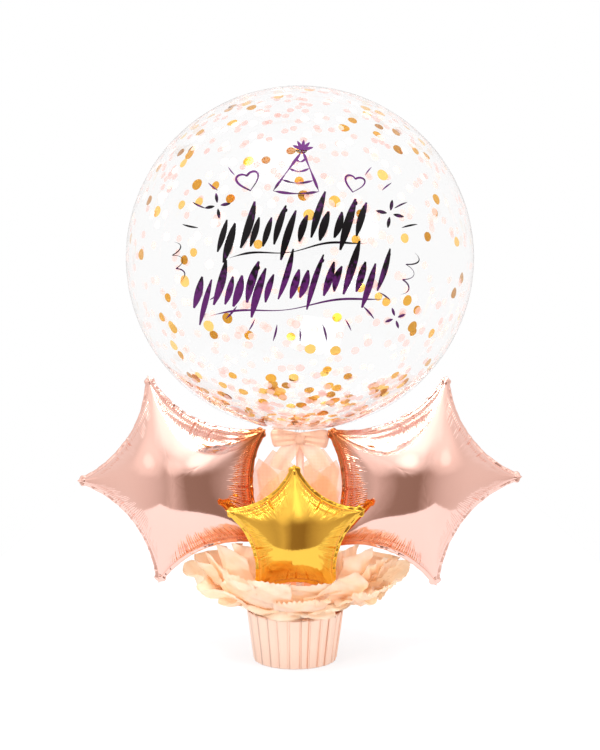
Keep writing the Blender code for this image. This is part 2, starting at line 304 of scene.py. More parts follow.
@dataclass(frozen=True)
class Finish:
    """What every finish shares: its name, and the way that its surface becomes a material."""

    name: str

    def build(self) -> bpy.types.Material:
        """Make the material.

        Returns:
            The material, with what surface() lays out.
        """
        material = bpy.data.materials.new(self.name)
        add = node_adder(material)
        add("OutputMaterial", {"Surface": self.surface(add)})
        return material

    def surface(self, add: Adder) -> bpy.types.Node:
        """Lay out the shader; each finish has its own."""
        raise NotImplementedError


@dataclass(frozen=True)
class MetallisedFoil(Finish):
    """Polyester film with a vacuum deposited metal layer, heat sealed and inflated.

    The film is a coloured mirror: sharp reflections that faint ripples in the film bend.
    """

    colour: str
    # Painted reflection: the warm colour painted into the film in the gap round the tube, for what it
    # mirrors over and over there, and the gap's half width
    painted_reflection: str = "D9824F"
    gap: tuple[float, float] = (0.075, 0.115)
    roughness: float = 0.085
    # Ripples of the taut film, and the fine grain of the film drawn coarser than its real 0.1 mm
    ripple: float = 16 * MM
    fine: float = 1.6 * MM

    def surface(self, add: Adder) -> bpy.types.Node:
        """Lay out a mirror with a painted warm reflection where the stars face each other.

        Args:
            add: Adds a node to the material.

        Returns:
            The shader.
        """
        place = add("TexCoord").outputs["Object"]
        ripple = add("TexNoise", {"Vector": place, "Scale": 1 / self.ripple, "Detail": 1.0})
        fine = add("TexNoise", {"Vector": place, "Scale": 1 / self.fine, "Detail": 2.0})
        broad = add("Bump", {"Height": ripple, "Strength": 0.10, "Distance": 1 * MM})
        bump = add("Bump", {"Height": fine, "Strength": 0.04, "Distance": 0.1 * MM, "Normal": broad})
        rough = {"To Min": self.roughness * 0.8, "To Max": self.roughness * 1.25}
        # Painted reflection: the base colour turns warm near the tube, where the stars face each other
        apart = add("Math", {0: add("SeparateXYZ", {"Vector": place})}, operation="ABSOLUTE")
        near = {"Value": apart, "From Min": self.gap[1], "From Max": self.gap[0]}
        inside = add("MapRange", near, interpolation_type="SMOOTHSTEP")
        painted_reflection_tint = add("Mix", {0: inside, 6: linear(self.colour), 7: linear(self.painted_reflection)}, data_type="RGBA")
        gloss = add("MapRange", {"Value": ripple, **rough})
        values = {"Base Color": painted_reflection_tint.outputs[2], "Metallic": 1.0, "Roughness": gloss, "Normal": bump}
        return add("BsdfPrincipled", values)


@dataclass(frozen=True)
class FoilCard(Finish):
    """Card laminated with rose gold foil and knife pleated.

    The card's grain dulls the foil, so reflections are broad and satin.
    """

    name: str = "foil_card"
    colour: str = "FAD6C1"
    roughness: float = 0.33
    # Card fibres under the foil, drawn coarser than their real 0.05 mm, and uneven pressing
    fibre: float = 0.9 * MM
    pressing: float = 30 * MM

    def surface(self, add: Adder) -> bpy.types.Node:
        """Lay out a satin metal over paper grain.

        Args:
            add: Adds a node to the material.

        Returns:
            The shader.
        """
        place = add("TexCoord").outputs["Object"]
        fibre = add("TexNoise", {"Vector": place, "Scale": 1 / self.fibre, "Detail": 4.0})
        cloud = add("TexNoise", {"Vector": place, "Scale": 1 / self.pressing, "Detail": 2.0})
        bump = add("Bump", {"Height": fibre, "Strength": 0.12, "Distance": 0.2 * MM})
        rough = {"To Min": self.roughness * 0.85, "To Max": self.roughness * 1.2}
        gloss = add("MapRange", {"Value": cloud, **rough})
        values = {"Base Color": linear(self.colour), "Metallic": 0.9, "Roughness": gloss, "Normal": bump}
        return add("BsdfPrincipled", values)


@dataclass(frozen=True)
class ClearFilm(Finish):
    """Clear stretch film, blown and welded.

    It is see-through with faint reflections that grow towards its outline.
    """

    name: str = "bubble_film"
    colour: str = "FDFDFD"
    ior: float = 1.22
    # Stretch marks of the blown film
    stretch: float = 35 * MM

    def surface(self, add: Adder) -> bpy.types.Node:
        """Lay out a clear film with faint stretch marks.

        Args:
            add: Adds a node to the material.

        Returns:
            The shader.
        """
        place = add("TexCoord").outputs["Object"]
        marks = add("TexNoise", {"Vector": place, "Scale": 1 / self.stretch, "Detail": 2.0})
        bump = add("Bump", {"Height": marks, "Strength": 0.08, "Distance": 1 * MM})
        clear = {"Roughness": 0.0, "IOR": self.ior, "Transmission Weight": 1.0}
        return add("BsdfPrincipled", {"Base Color": linear(self.colour), "Normal": bump, **clear})


@dataclass(frozen=True)
class PrintInk(Finish):
    """Screen printed solvent ink with a black to violet blend.

    The ink is glossy and thin, so it is mottled where the screen laid it down unevenly.
    """

    name: str = "print_ink"
    black: str = "040306"
    violet: str = "4B1253"
    low: float = 0.0
    high: float = 1.0
    mottle: float = 7 * MM
    unevenness: float = 35 * MM

    def surface(self, add: Adder) -> bpy.types.Node:
        """Lay out ink whose colour follows its height on the bubble.

        Args:
            add: Adds a node to the material.

        Returns:
            The shader.
        """
        place = add("TexCoord").outputs["Object"]
        height = add("SeparateXYZ", {"Vector": place}).outputs["Z"]
        mottle = add("TexNoise", {"Vector": place, "Scale": 1 / self.mottle, "Detail": 3.0})
        drift = {"From Min": 0.3, "From Max": 0.7, "To Min": -self.unevenness, "To Max": self.unevenness}
        uneven = add("MapRange", {"Value": mottle, **drift})
        total = add("Math", {0: height, 1: uneven}, operation="ADD")
        share = add("MapRange", {"Value": total, "From Min": self.low, "From Max": self.high})
        stops = {0.0: self.violet, 0.28: self.violet, 0.42: self.black, 0.66: self.black, 0.80: self.violet}
        blend = add("ValToRGB", {"Fac": share}, stops)
        return add("BsdfPrincipled", {"Base Color": blend, "Roughness": 0.3, "Specular IOR Level": 0.25})


@dataclass(frozen=True)
class PunchedDiscs(Finish):
    """Discs punched from metallised film or from pale tissue, each in a shade of its own.

    The film's discs are small mirrors. The tissue's are matte and let light through, so they
    deepen where they lie over each other.
    """

    shades: Mapping[float, str]
    metallic: float
    roughness: float
    alpha: float = 1.0

    def surface(self, add: Adder) -> bpy.types.Node:
        """Lay out a shade for each disc.

        Args:
            add: Adds a node to the material.

        Returns:
            The shader.
        """
        shade = add("ValToRGB", {"Fac": add("NewGeometry").outputs["Random Per Island"]}, self.shades)
        values = {"Metallic": self.metallic, "Roughness": self.roughness, "Alpha": self.alpha}
        return add("BsdfPrincipled", {"Base Color": shade, **values})


@dataclass(frozen=True)
class TissuePaper(Finish):
    """Thin coloured tissue, cut with pinking shears and crushed by hand.

    Light passes through it, so layers and folds glow deeper and warmer than a single sheet.
    """

    name: str = "tissue_paper"
    face: str = "FFF3E2"
    deep: str = "FFE6CB"
    glow: str = "FFD8AC"
    share_through: float = 0.42
    # Paper fibres, drawn coarser than their real 0.03 mm, and the paper's cloudiness
    fibre: float = 1.1 * MM
    cloud: float = 22 * MM

    def surface(self, add: Adder) -> bpy.types.Node:
        """Lay out cloudy paper, mixed with the light that comes through it.

        Args:
            add: Adds a node to the material.

        Returns:
            The shader.
        """
        place = add("TexCoord").outputs["Object"]
        fibre = add("TexNoise", {"Vector": place, "Scale": 1 / self.fibre, "Detail": 5.0})
        cloud = add("TexNoise", {"Vector": place, "Scale": 1 / self.cloud, "Detail": 3.0})
        shade = add("ValToRGB", {"Fac": cloud}, {0.35: self.face, 0.7: self.deep})
        bump = add("Bump", {"Height": fibre, "Strength": 0.25, "Distance": 0.15 * MM})
        matte = {"Roughness": 0.85, "Specular IOR Level": 0.25, "Normal": bump}
        shader = add("BsdfPrincipled", {"Base Color": shade, **matte})
        through = add("BsdfTranslucent", {"Color": linear(self.glow)})
        return add("MixShader", {0: self.share_through, 1: shader, 2: through})


@dataclass(frozen=True)
class SheerCloth(Finish):
    """Sheer plain weave of fine synthetic yarn.

    It is see-through with a faint grid of yarns and a soft sheen where it turns away.
    """

    face: str
    yarn: str
    alpha: float
    # Painted glow: an emission that stands in for light coming through from the bright wall behind
    glow: float = 0.0
    # How wide a yarn or a gap is, drawn coarser than the real 0.3 mm
    spacing: float = 1.2 * MM

    def surface(self, add: Adder) -> bpy.types.Node:
        """Lay out two sets of yarns that cross.

        Args:
            add: Adds a node to the material.

        Returns:
            The shader.
        """
        place = add("TexCoord").outputs["Object"]
        # A wave texture has 20 / tau bands to a unit of length, each of a yarn and a gap
        scale = 1 / (self.spacing * 20) * math.tau / 2
        wave = {"Vector": place, "Scale": scale, "Distortion": 0.6}
        yarns = [add("TexWave", wave, bands_direction=way).outputs["Fac"] for way in ("X", "Z")]
        weave = add("Math", {0: yarns[0], 1: yarns[1]}, operation="MAXIMUM")
        shade = add("ValToRGB", {"Fac": weave}, {0.2: self.yarn, 0.9: self.face})
        bump = add("Bump", {"Height": weave, "Strength": 0.15, "Distance": 0.2 * MM})
        # Painted glow: the cloth emits its own colour as if lit from behind
        light = {"Sheen Weight": 0.3, "Emission Color": linear(self.face), "Emission Strength": self.glow}
        cloth = {"Roughness": 0.55, "Alpha": self.alpha, "Normal": bump}
        return add("BsdfPrincipled", {"Base Color": shade, **light, **cloth})


@dataclass(frozen=True)
class TubePlastic(Finish):
    """Milky extruded polypropylene.

    Light spreads inside the wall, so the tube is paler along its middle, with a soft gloss.
    """

    name: str = "tube_plastic"
    colour: str = "FFD9C8"
    # Painted glow: an emission that makes the tube paler, on top of the real light that spreads in its wall
    glow: float = 0.12
    # Faint draw lines of the extrusion, and how deep red, green and blue light spread
    lines: float = 2.5 * MM
    depths: tuple[float, float, float] = (4 * MM, 2 * MM, 1.5 * MM)

    def surface(self, add: Adder) -> bpy.types.Node:
        """Lay out milky plastic with lines along it.

        Args:
            add: Adds a node to the material.

        Returns:
            The shader.
        """
        place = add("TexCoord").outputs["Object"]
        drawn = add("Mapping", {"Vector": place, "Scale": (1.0, 1.0, 0.03)}).outputs[0]
        lines = add("TexNoise", {"Vector": drawn, "Scale": 1 / self.lines, "Detail": 2.0})
        bump = add("Bump", {"Height": lines, "Strength": 0.1, "Distance": 0.2 * MM})
        milky = {"Subsurface Weight": 0.3, "Subsurface Scale": 1.0, "Subsurface Radius": self.depths}
        # Painted glow: the plastic emits its own colour
        light = {"Emission Color": linear(self.colour), "Emission Strength": self.glow}
        gloss = {"Roughness": 0.28, "IOR": 1.49, "Normal": bump}
        return add("BsdfPrincipled", {"Base Color": linear(self.colour), **milky, **light, **gloss})


@dataclass
class FoilStar:
    """An inflated foil star with its sealed rim, made facing the front and then turned."""

    node: str
    slot: str
    # The bearing in degrees and the reach of each tip, from the top one anticlockwise
    tips: Sequence[tuple[float, float]]
    middle: tuple[float, float]
    depth: float
    pucker_pitch: float
    pucker_depth: float
    side_columns: int
    seed: int
    turn: float = 0.0
    lean: float = 0.0
    mirrored: bool = False
    side_dent: float = 0.146
    seal_width: float = 7.5 * MM
    seal_thickness: float = 0.36 * MM
    # How far in from the seam each ring of points lies in mm, and how the inner rings shrink
    near_rings: tuple[float, ...] = (
        0, 0.25, 0.8, 1.6, 2.8, 4.2, 5.8, 7.5, 9.3, 11.2, 13.2, 15.4, 17.8, 20.6, 24, 28,
    )
    half_rings: tuple[float, ...] = (0.70, 0.64, 0.57, 0.50)
    quarter_rings: tuple[float, ...] = (0.43, 0.36, 0.30, 0.24)
    inner_rings: tuple[float, ...] = (0.18, 0.13, 0.085, 0.04)
    rim_rings: tuple[float, ...] = (0.25, 0.5, 0.75, 1.0)
    crinkle: float = 1.35 * MM
    curl_back: float = 2.4 * MM
    # Creases in the middle of a side: how deep, how wide and how far in they run
    notch_depth: float = 3.0 * MM
    notch_width: float = 1.5 * MM
    notch_reach: float = 24 * MM
    # The round end of each tip: its radius, and how far in its middle lies
    ball_radius: float = 4.2 * MM
    ball_inset: float = 5.5 * MM

    def __post_init__(self) -> None:
        """Work out the seam in the star's own plane, with an arc of a circle along each side."""
        bearings = np.radians([bearing for bearing, _ in self.tips])
        reaches = np.array([reach for _, reach in self.tips]) - self.seal_width
        self.ends = np.stack([reaches * np.cos(bearings), reaches * np.sin(bearings)], axis=-1)
        following = np.roll(self.ends, -1, axis=0)
        chord = following - self.ends
        span = np.linalg.norm(chord, axis=1)
        dent = self.side_dent * span
        self.radii = ((span / 2) ** 2 + dent**2) / (2 * dent)
        outward = np.stack([chord[:, 1], -chord[:, 0]], axis=1) / span[:, None]
        self.centres = (self.ends + following) / 2 + outward * (self.radii - dent)[:, None]
        share = np.arange(self.side_columns) / self.side_columns
        seam, outs, alongs, lengths = [], [], [], []
        for tip, after, centre, radius in zip(self.ends, following, self.centres, self.radii):
            first = math.atan2(tip[1] - centre[1], tip[0] - centre[0])
            sweep = math.atan2(after[1] - centre[1], after[0] - centre[0]) - first
            sweep = (sweep + math.pi) % math.tau - math.pi
            angle = first + sweep * share
            arm = np.stack([np.cos(angle), np.sin(angle)], axis=1)
            length = abs(sweep) * radius
            nearest = np.where((share < 0.5)[:, None], unit(tip), unit(after))
            blend = smoothstep(0.0, 9 * MM, np.minimum(share, 1 - share) * length)[:, None]
            seam.append(centre + arm * radius)
            outs.append(unit(nearest * (1 - blend) - arm * blend))
            alongs.append((share - 0.5) * length)
            lengths.append(length)
        self.seam, self.outs = np.concatenate(seam), np.concatenate(outs)
        self.along, self.lengths = np.concatenate(alongs), np.array(lengths)
        self.side = np.arange(len(self.tips)).repeat(self.side_columns)

    def pressure(self, flat: np.ndarray) -> np.ndarray:
        """Combine the distances of points in the star's plane to neighbouring sides."""
        away = np.maximum(np.linalg.norm(flat[..., None, :] - self.centres, axis=-1) - self.radii, 1e-7)
        return np.sum((away * np.roll(away, 1, axis=-1)) ** -2.0, axis=-1) ** -0.5

    def lift(self, flat: np.ndarray) -> np.ndarray:
        """Work out how far the inflated film stands off the seam's plane.

        Args:
            flat: Points in the star's plane.

        Returns:
            The height at each point.
        """
        middle = self.pressure(np.zeros((1, 2)))[0]
        height = (self.depth - self.seal_thickness) / 2 * np.sqrt(self.pressure(flat) / middle)
        for tip in self.ends:
            ball = tip * (1 - self.ball_inset / np.linalg.norm(tip))
            away = np.linalg.norm(flat - ball, axis=-1)
            dome = np.sqrt(np.maximum(self.ball_radius**2 - away**2, 0.0))
            height = np.maximum(height, dome * smoothstep(0.0, 1.0, dome / (3 * MM)))
        return height

    def puckers(self, side: int, seed: int, inward: np.ndarray) -> np.ndarray:
        """Work out the short folds that the seam draws into the film along one side.

        Args:
            side: The side's number.
            seed: The seed of their rhythm.
            inward: Distance from the seam, as rows by the side's columns.

        Returns:
            How far they lift the film at each point.
        """
        random = np.random.default_rng(seed)
        along, length = self.along[self.side == side], self.lengths[side]
        count = int(length / self.pucker_pitch * 1.6) + 4
        widths = self.pucker_pitch * random.uniform(0.88, 1.14, count)
        ends = np.cumsum(widths) - widths.sum() / 2
        tall = random.uniform(0.8, 1.2, count)
        reach = random.uniform(10 * MM, 27 * MM, count)
        which = np.clip(np.searchsorted(ends, along), 0, count - 1)
        share = np.clip((ends[which] - along) / widths[which], 0.0, 1.0)
        ridge = np.sin(math.pi * share) ** 1.5 - 0.55
        middle = np.clip(1 - np.abs(along / (0.46 * length)) ** 2.6, 0.0, 1.0)
        fade_in = 0.35 + 0.65 * smoothstep(0.8 * MM, 8 * MM, inward)
        far = reach[which] * (0.45 + 0.55 * middle)
        fade_out = 1 - smoothstep(0.0, 1.0, (inward - 0.4 * far) / (far + 3 * MM))
        folds = self.pucker_depth * tall[which] * middle * ridge * fade_in * fade_out
        roll = 1.1 * MM * bell(inward - 4.5 * MM, 2.6 * MM)
        valley = -0.9 * MM * bell(inward - 9.5 * MM, 2.4 * MM)
        total = folds + (roll + valley) * middle
        places = [(0.0, 1.0)]
        for way in (-1, 1):
            places.append((way * random.uniform(0.12, 0.17) * length, random.uniform(0.35, 0.6)))
            places.append((way * random.uniform(0.24, 0.3) * length, random.uniform(0.15, 0.35)))
        inside = smoothstep(-2 * MM, 2.5 * MM, inward) * (1 - smoothstep(5 * MM, self.notch_reach, inward))
        for place, size in places:
            shoulders = bell(np.abs(along - place) - 3.2 * MM, 2 * MM)
            across = bell(along - place, self.notch_width)
            total = total + size * inside * self.notch_depth * (0.3 * shoulders - across)
        return total

    def wave(self, points: np.ndarray) -> np.ndarray:
        """Work out the slack of the film.

        Args:
            points: Any array whose last axis is x, y and z.

        Returns:
            The height of broad, shallow waves at each point, with none at the seam.
        """
        flat = points.reshape(-1, 3) / (55 * MM) + self.seed * 3.1
        broad = np.array([noise.noise(Vector(point)) for point in flat.tolist()]).reshape(points.shape[:-1])
        return smoothstep(3 * MM, 20 * MM, np.abs(points[..., 1])) * 0.55 * MM * broad

    def rim(self) -> np.ndarray:
        """Work out the crinkled rim outside the seam.

        Returns:
            Rings of points from the seam outwards.
        """
        random = np.random.default_rng(self.seed)
        from_tip = self.lengths[self.side] / 2 - np.abs(self.along)
        steps = np.linalg.norm(np.roll(self.seam, -1, axis=0) - self.seam, axis=1)
        run = np.concatenate([[0.0], np.cumsum(steps[:-1])])
        total = run[-1] + steps[-1]
        lobes = 0.42 * bell(from_tip - 6.0 * MM, 2.2 * MM) + 0.17 * bell(from_tip, 2.5 * MM)
        width = self.seal_width * (0.80 + lobes)
        bend = -1.6 * bell(self.along, self.notch_width)
        for size, wavelength in ((0.8, 46 * MM), (0.6, 10 * MM), (0.65, 4.6 * MM)):
            corners = round(total / wavelength)
            places = (np.arange(corners) + random.uniform(-0.32, 0.32, corners)) / corners * total
            heights = random.choice([-1.0, 1.0], corners) * random.uniform(0.2, 1.0, corners)
            bend = bend + size * np.interp(run, places, heights, period=total)
            width = width * (1 + 0.05 * np.interp(run, places, random.permutation(heights), period=total))
        rings = []
        for share in self.rim_rings:
            curl = self.crinkle * bend * share**1.2 + self.curl_back * share**1.3
            rings.append(upright(self.seam + self.outs * (width * share)[:, None], curl))
        return np.array(rings)

    def add_face(self, draft: MeshDraft, rim: np.ndarray, front: bool) -> int:
        """Add one face of the star, from its rim's edge to its middle.

        Args:
            draft: The star's mesh.
            rim: The rim's points at the seam plane.
            front: Whether this is the front.

        Returns:
            The index of the first point of the rim's edge.
        """
        way = -1.0 if front else 1.0
        seal = way * self.seal_thickness / 2
        inward = np.array(self.near_rings) * MM
        reach = np.linalg.norm(self.seam, axis=1)
        flat = self.seam * (1 - inward[:, None] / reach)[..., None]
        distance = np.linalg.norm(flat - self.centres[self.side], axis=-1) - self.radii[self.side]
        near = upright(flat, way * self.lift(flat) + seal)
        normal = grid_normals(near, loop=True)
        normal = normal * np.sign(np.mean(normal[-1, :, 1]) * way)
        pucker = np.zeros_like(distance)
        for side in range(len(self.tips)):
            chosen = self.side == side
            seed = self.seed * 100 + side * 10 + int(front)
            pucker[:, chosen] = self.puckers(side, seed, distance[:, chosen])
        near = near + normal * (pucker + self.wave(near))[..., None]
        near[0] = upright(flat[0], seal)
        rings = [*(rim[::-1] + (0.0, seal, 0.0)), *near]
        inner = (1 - inward[-1] / reach) * 0.93 / self.half_rings[0]
        for step, shares in ((2, self.half_rings), (4, self.quarter_rings), (8, self.inner_rings)):
            for share in shares:
                ring = self.seam[::step] * (share * inner[::step, None])
                row = upright(ring, way * self.lift(ring) + seal)
                row[:, 1] += way * self.wave(row)
                rings.append(row)
        starts = [draft.add_points(ring) for ring in rings]
        for i in range(len(rings) - 1):
            draft.join_rings(starts[i], len(rings[i]), starts[i + 1], len(rings[i + 1]), flip=front)
        crown = np.array([0.0, way * self.depth / 2, 0.0])
        crown[1] += way * float(self.wave(crown[None])[0])
        draft.close_ring(starts[-1], len(rings[-1]), crown, flip=front)
        return starts[0]

    def build(self, foil: bpy.types.Material) -> None:
        """Make the star where its node is.

        Args:
            foil: Its film.
        """
        draft, rim = MeshDraft(), self.rim()
        front, back = (self.add_face(draft, rim, side) for side in (True, False))
        draft.join_rings(front, len(self.seam), back, len(self.seam))
        x, y, z = np.concatenate(draft.points).T
        if self.mirrored:
            x = -x
            draft.faces = [face[::-1] for face in draft.faces]
        lean, turn = math.radians(self.lean), math.radians(self.turn)
        y, z = y * math.cos(lean) + z * math.sin(lean), z * math.cos(lean) - y * math.sin(lean)
        x, y = x * math.cos(turn) - y * math.sin(turn), x * math.sin(turn) + y * math.cos(turn)
        low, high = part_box(self.node)
        place = (self.middle[0], (low.y + high.y) / 2, self.middle[1])
        draft.points = [np.stack([x, y, z], axis=-1) + place]
        draft.make(f"{self.node}_foil", foil, self.slot, [self.node])


@dataclass(frozen=True)
class Confetti:
    """Discs of one kind in the bubble, with their number, radius and corners."""

    name: str
    slot: str
    finish: PunchedDiscs
    count: int
    disc: float
    corners: int
    # How far inside the film the first ones lie, and what share of them slid down to the neck
    inset: float
    pile: float


@dataclass
class Bubble:
    """The clear bubble balloon: its film and the confetti in it."""

    node: str = "bubble_balloon"
    radius: float = 0.297
    film: float = 0.16 * MM
    neck_radius: float = 8.0 * MM
    columns: int = 160
    rows: int = 90
    gather_reach: float = 0.060
    gather_depth: float = 1.1 * MM
    gathers: int = 14
    flatness: float = 0.985
    sag: float = 3.2 * MM
    seed: int = 11

    def __post_init__(self) -> None:
        """Read the bubble's middle and base from the frame."""
        low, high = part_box(self.node)
        self.bottom = low.z
        self.centre = np.array([(low.x + high.x) / 2, (low.y + high.y) / 2, high.z - self.radius])

    def settle(self, points: np.ndarray) -> np.ndarray:
        """Flatten points of the true ball as the real balloon is flattened.

        Args:
            points: Points on or in the ball.

        Returns:
            The settled points.
        """
        settled = points.copy()
        settled[..., 2] = self.centre[2] + (points[..., 2] - self.centre[2]) * self.flatness - self.sag
        return settled

    def build_film(self, material: bpy.types.Material) -> None:
        """Blow the film, from its crown down to its neck.

        Args:
            material: Its finish.
        """
        tilt = np.linspace(0.004, math.pi - math.asin(self.neck_radius / self.radius), self.rows)
        bearing = np.linspace(0, math.tau, self.columns, endpoint=False)
        neck = np.linspace(0.2, 1.0, 5)
        height = self.centre[2] + self.radius * np.cos(tilt)
        neck_top = height[-1]
        height = np.concatenate([height, neck_top + (self.bottom - neck_top) * neck])
        reach = np.concatenate([self.radius * np.sin(tilt), np.full(len(neck), self.neck_radius)])
        near_neck = np.clip(1 - (reach - self.neck_radius) / self.gather_reach, 0, 1) ** 1.5
        near_neck[: self.rows // 2] = 0.0
        gather = self.gather_depth * near_neck[:, None] * np.cos(self.gathers * bearing)
        grid = around(reach[:, None] + gather, bearing, height[:, None], self.centre)
        grid[: self.rows] = self.settle(grid[: self.rows])
        drop = grid[self.rows - 1, :, 2].mean() - neck_top
        grid[self.rows :, :, 2] += drop * (1 - neck[:, None])
        draft = MeshDraft()
        start = draft.add_grid(grid, loop=True, flip=True)
        draft.close_ring(start, self.columns, self.settle(self.centre + (0.0, 0.0, self.radius)))
        film = draft.make("bubble_film", material, "bubble_film", [self.node], wall=self.film)
        film.visible_shadow = False
        film.visible_diffuse = False

    def spread(self, count: int, random: np.random.Generator, pile: float) -> np.ndarray:
        """Choose directions from the bubble's middle for confetti.

        Args:
            count: How many.
            random: The source of chance.
            pile: What share of them slid down to the neck.

        Returns:
            A unit vector for each.
        """
        made: list[np.ndarray] = []
        while len(made) < count:
            direction = unit(random.normal(size=3))
            height = direction[2]
            if random.random() < pile:
                slide = -0.995 + 0.30 * random.random() ** 1.6
                direction = np.append(unit(direction[:2]) * math.sqrt(1 - slide**2), slide)
            elif height < -0.975 or random.random() > 0.35 + 0.65 * abs(height) ** 1.2:
                continue
            made.append(direction)
        return np.array(made)

    def build_confetti(self, kind: Confetti) -> None:
        """Scatter discs over the inside of the film.

        Args:
            kind: Which discs.
        """
        random = np.random.default_rng(self.seed + kind.count)
        draft = MeshDraft()
        angles = np.linspace(0, math.tau, kind.corners, endpoint=False)
        cosines, sines = np.cos(angles)[:, None], np.sin(angles)[:, None]
        for direction in self.spread(kind.count, random, kind.pile):
            side = unit(np.cross(direction, unit(random.normal(size=3))))
            up = np.cross(direction, side)
            lowness = max(0.0, -direction[2] - 0.8) * 5
            lean = random.normal() * (0.05 + 0.30 * lowness)
            normal = unit(direction + side * lean)
            along = unit(np.cross(up, normal))
            size = kind.disc * random.uniform(0.92, 1.04)
            depth = kind.inset + size**2 / (2 * self.radius) + (abs(lean) + 0.1) * size
            depth += lowness * random.random() * 5 * MM
            middle = self.centre + direction * (self.radius - self.film - depth)
            bend = 0.10 * size * cosines**2 * random.choice([-1, 1])
            disc = middle + cosines * along * size + sines * up * size + normal * bend
            start = draft.add_points(self.settle(disc))
            draft.close_ring(start, kind.corners, self.settle(middle))
        draft.make(kind.name, kind.finish.build(), kind.slot)


class Mark(Enum):
    """The small motifs of the print."""

    HEART = "heart"
    SPARK = "spark"
    HAT = "hat"
    RAY = "ray"
    SWIRL = "swirl"


@dataclass
class BubblePrint:
    """A brushed pattern on the front of the bubble: two rows of strokes among small motifs."""

    bubble: Bubble
    lift: float = 0.35 * MM
    thick: float = 11.5 * MM
    thin: float = 1.9 * MM
    pitch: float = 17 * MM
    slant: float = 0.30
    draft: MeshDraft = field(default_factory=MeshDraft)

    def brush(self, line: np.ndarray, widths: np.ndarray) -> None:
        """Add one brush stroke on the bubble's front.

        Args:
            line: The stroke's middle line, to the right of the bubble's middle and above it.
            widths: How wide it is at each point.
        """
        along = np.gradient(line, axis=0)
        side = unit(np.stack([-along[:, 1], along[:, 0]], axis=-1)) * widths[:, None] / 2
        flat = np.stack([line - side, line, line + side], axis=0)
        reach = self.bubble.radius + self.lift
        depth = np.sqrt(np.maximum(reach**2 - np.sum(flat**2, axis=-1), 0.0))
        self.draft.add_grid(self.bubble.settle(self.bubble.centre + upright(flat, -depth)))

    def tapered(self, ends: Any, width: float, bow: float = 0.0) -> None:
        """Add a stroke that is widest in its middle and ends in points.

        Args:
            ends: Its two ends.
            width: Its greatest width.
            bow: How far its middle bows to the left of its direction.
        """
        share = np.linspace(0, 1, 14)
        start, end = np.array(ends)
        way = end - start
        side = np.array([-way[1], way[0]]) / np.linalg.norm(way)
        line = start + way * share[:, None] + side * (bow * np.sin(math.pi * share))[:, None]
        self.brush(line, width * np.sin(math.pi * np.clip(share, 0.03, 0.97)) ** 0.6)

    def curve(self, line: np.ndarray, width: float, closed: bool = False) -> None:
        """Add a thin line of nearly even width.

        Args:
            line: The line's points.
            width: Its width.
            closed: Whether its ends meet.
        """
        share = np.linspace(0, 1, len(line))
        swell = 0.75 + 0.35 * np.sin(math.tau * share * 1.5 + 0.6)
        ends = 1.0 if closed else np.clip(np.minimum(share, 1 - share) * 8, 0.15, 1.0)
        self.brush(line, width * swell * ends)

    def brushed_row(
        self, left: float, right: float, base: float, rise: float, seed: int, tall: float
    ) -> None:
        """Add a row of slanted brush strokes of uneven height over a thin wave.

        Args:
            left: Where it starts.
            right: Where it ends.
            base: The height of its middle.
            rise: How much higher its right end is.
            seed: The seed of its rhythm.
            tall: The usual height of a stroke.
        """
        random = np.random.default_rng(seed)
        strokes = round((right - left) / self.pitch)
        reach = np.resize([0.5, 0.34, 0.95, 0.4, 0.36, 0.7], strokes)
        drop = np.resize([0.4, 0.85, 0.42, 0.38, 0.44], strokes)
        for k in range(strokes):
            x = left + (right - left) * (k + random.uniform(0.35, 0.65)) / strokes
            z = base + rise * k / strokes
            highs = [tall * part * random.uniform(0.9, 1.1) for part in (reach[k], -drop[k])]
            size = self.thick * random.uniform(0.8, 1.15)
            bow = random.uniform(-2.5, 2.5) * MM
            self.tapered([(x + self.slant * high, z + high) for high in highs], size, bow)
            if k % 3 == 2:
                near = [(x + 0.45 * self.pitch, z + tall * 0.5), (x + 0.75 * self.pitch, z + tall * 0.6)]
                self.tapered(near, size * 0.55)
        share = np.linspace(0, 1, 80)
        x = left + (right - left) * (0.1 + 0.9 * share)
        z = base - tall * 0.62 + rise * share + 3.5 * MM * np.sin(share * 3.5 * math.pi)
        self.curve(np.stack([x, z], axis=-1), self.thin * 1.7)

    def draw_hat(self, placed: Callable[[Any], np.ndarray], size: float) -> None:
        """Draw a cone hat with bands and a tuft.

        Args:
            placed: Places points of the motif.
            size: The hat's height.
        """
        t = np.linspace(0, 1, 20)
        sag = np.sin(math.pi * t)
        corners = np.array([(-0.45, -0.5), (0.05, 0.42), (0.47, -0.42), (-0.45, -0.5)])
        for a, b in zip(corners, corners[1:]):
            edge = a + (b - a) * t[:, None]
            edge[:, 1] -= 0.05 * sag * (b[0] < a[0])
            self.curve(placed(edge), size * 0.055)
        for up in (0.28, 0.55, 0.78):
            x, z = -0.45 + 0.5 * up + 0.92 * (1 - up) * t, -0.5 + 0.92 * up - 0.07 * sag + 0.05 * t
            self.curve(placed(np.stack([x, z], axis=-1)), size * 0.045)
        for k in range(5):
            bearing = math.radians(20 + 35 * k)
            tuft = [(0.05, 0.44), (0.05 + 0.22 * math.cos(bearing), 0.44 + 0.22 * math.sin(bearing))]
            self.tapered(placed(tuft), size * 0.07)

    def mark(self, kind: Mark, x: float, z: float, size: float, turn: float) -> None:
        """Add one small motif.

        Args:
            kind: Which motif.
            x: Its place to the right of the bubble's middle.
            z: Its place above the bubble's middle.
            size: Its height.
            turn: How far it is turned, in degrees.
        """
        angle = math.radians(turn)
        turning = np.array([[math.cos(angle), math.sin(angle)], [-math.sin(angle), math.cos(angle)]])

        def placed(points: Any) -> np.ndarray:
            """Turn, scale and place points of the motif."""
            return np.array(points, float) @ turning * size + (x, z)

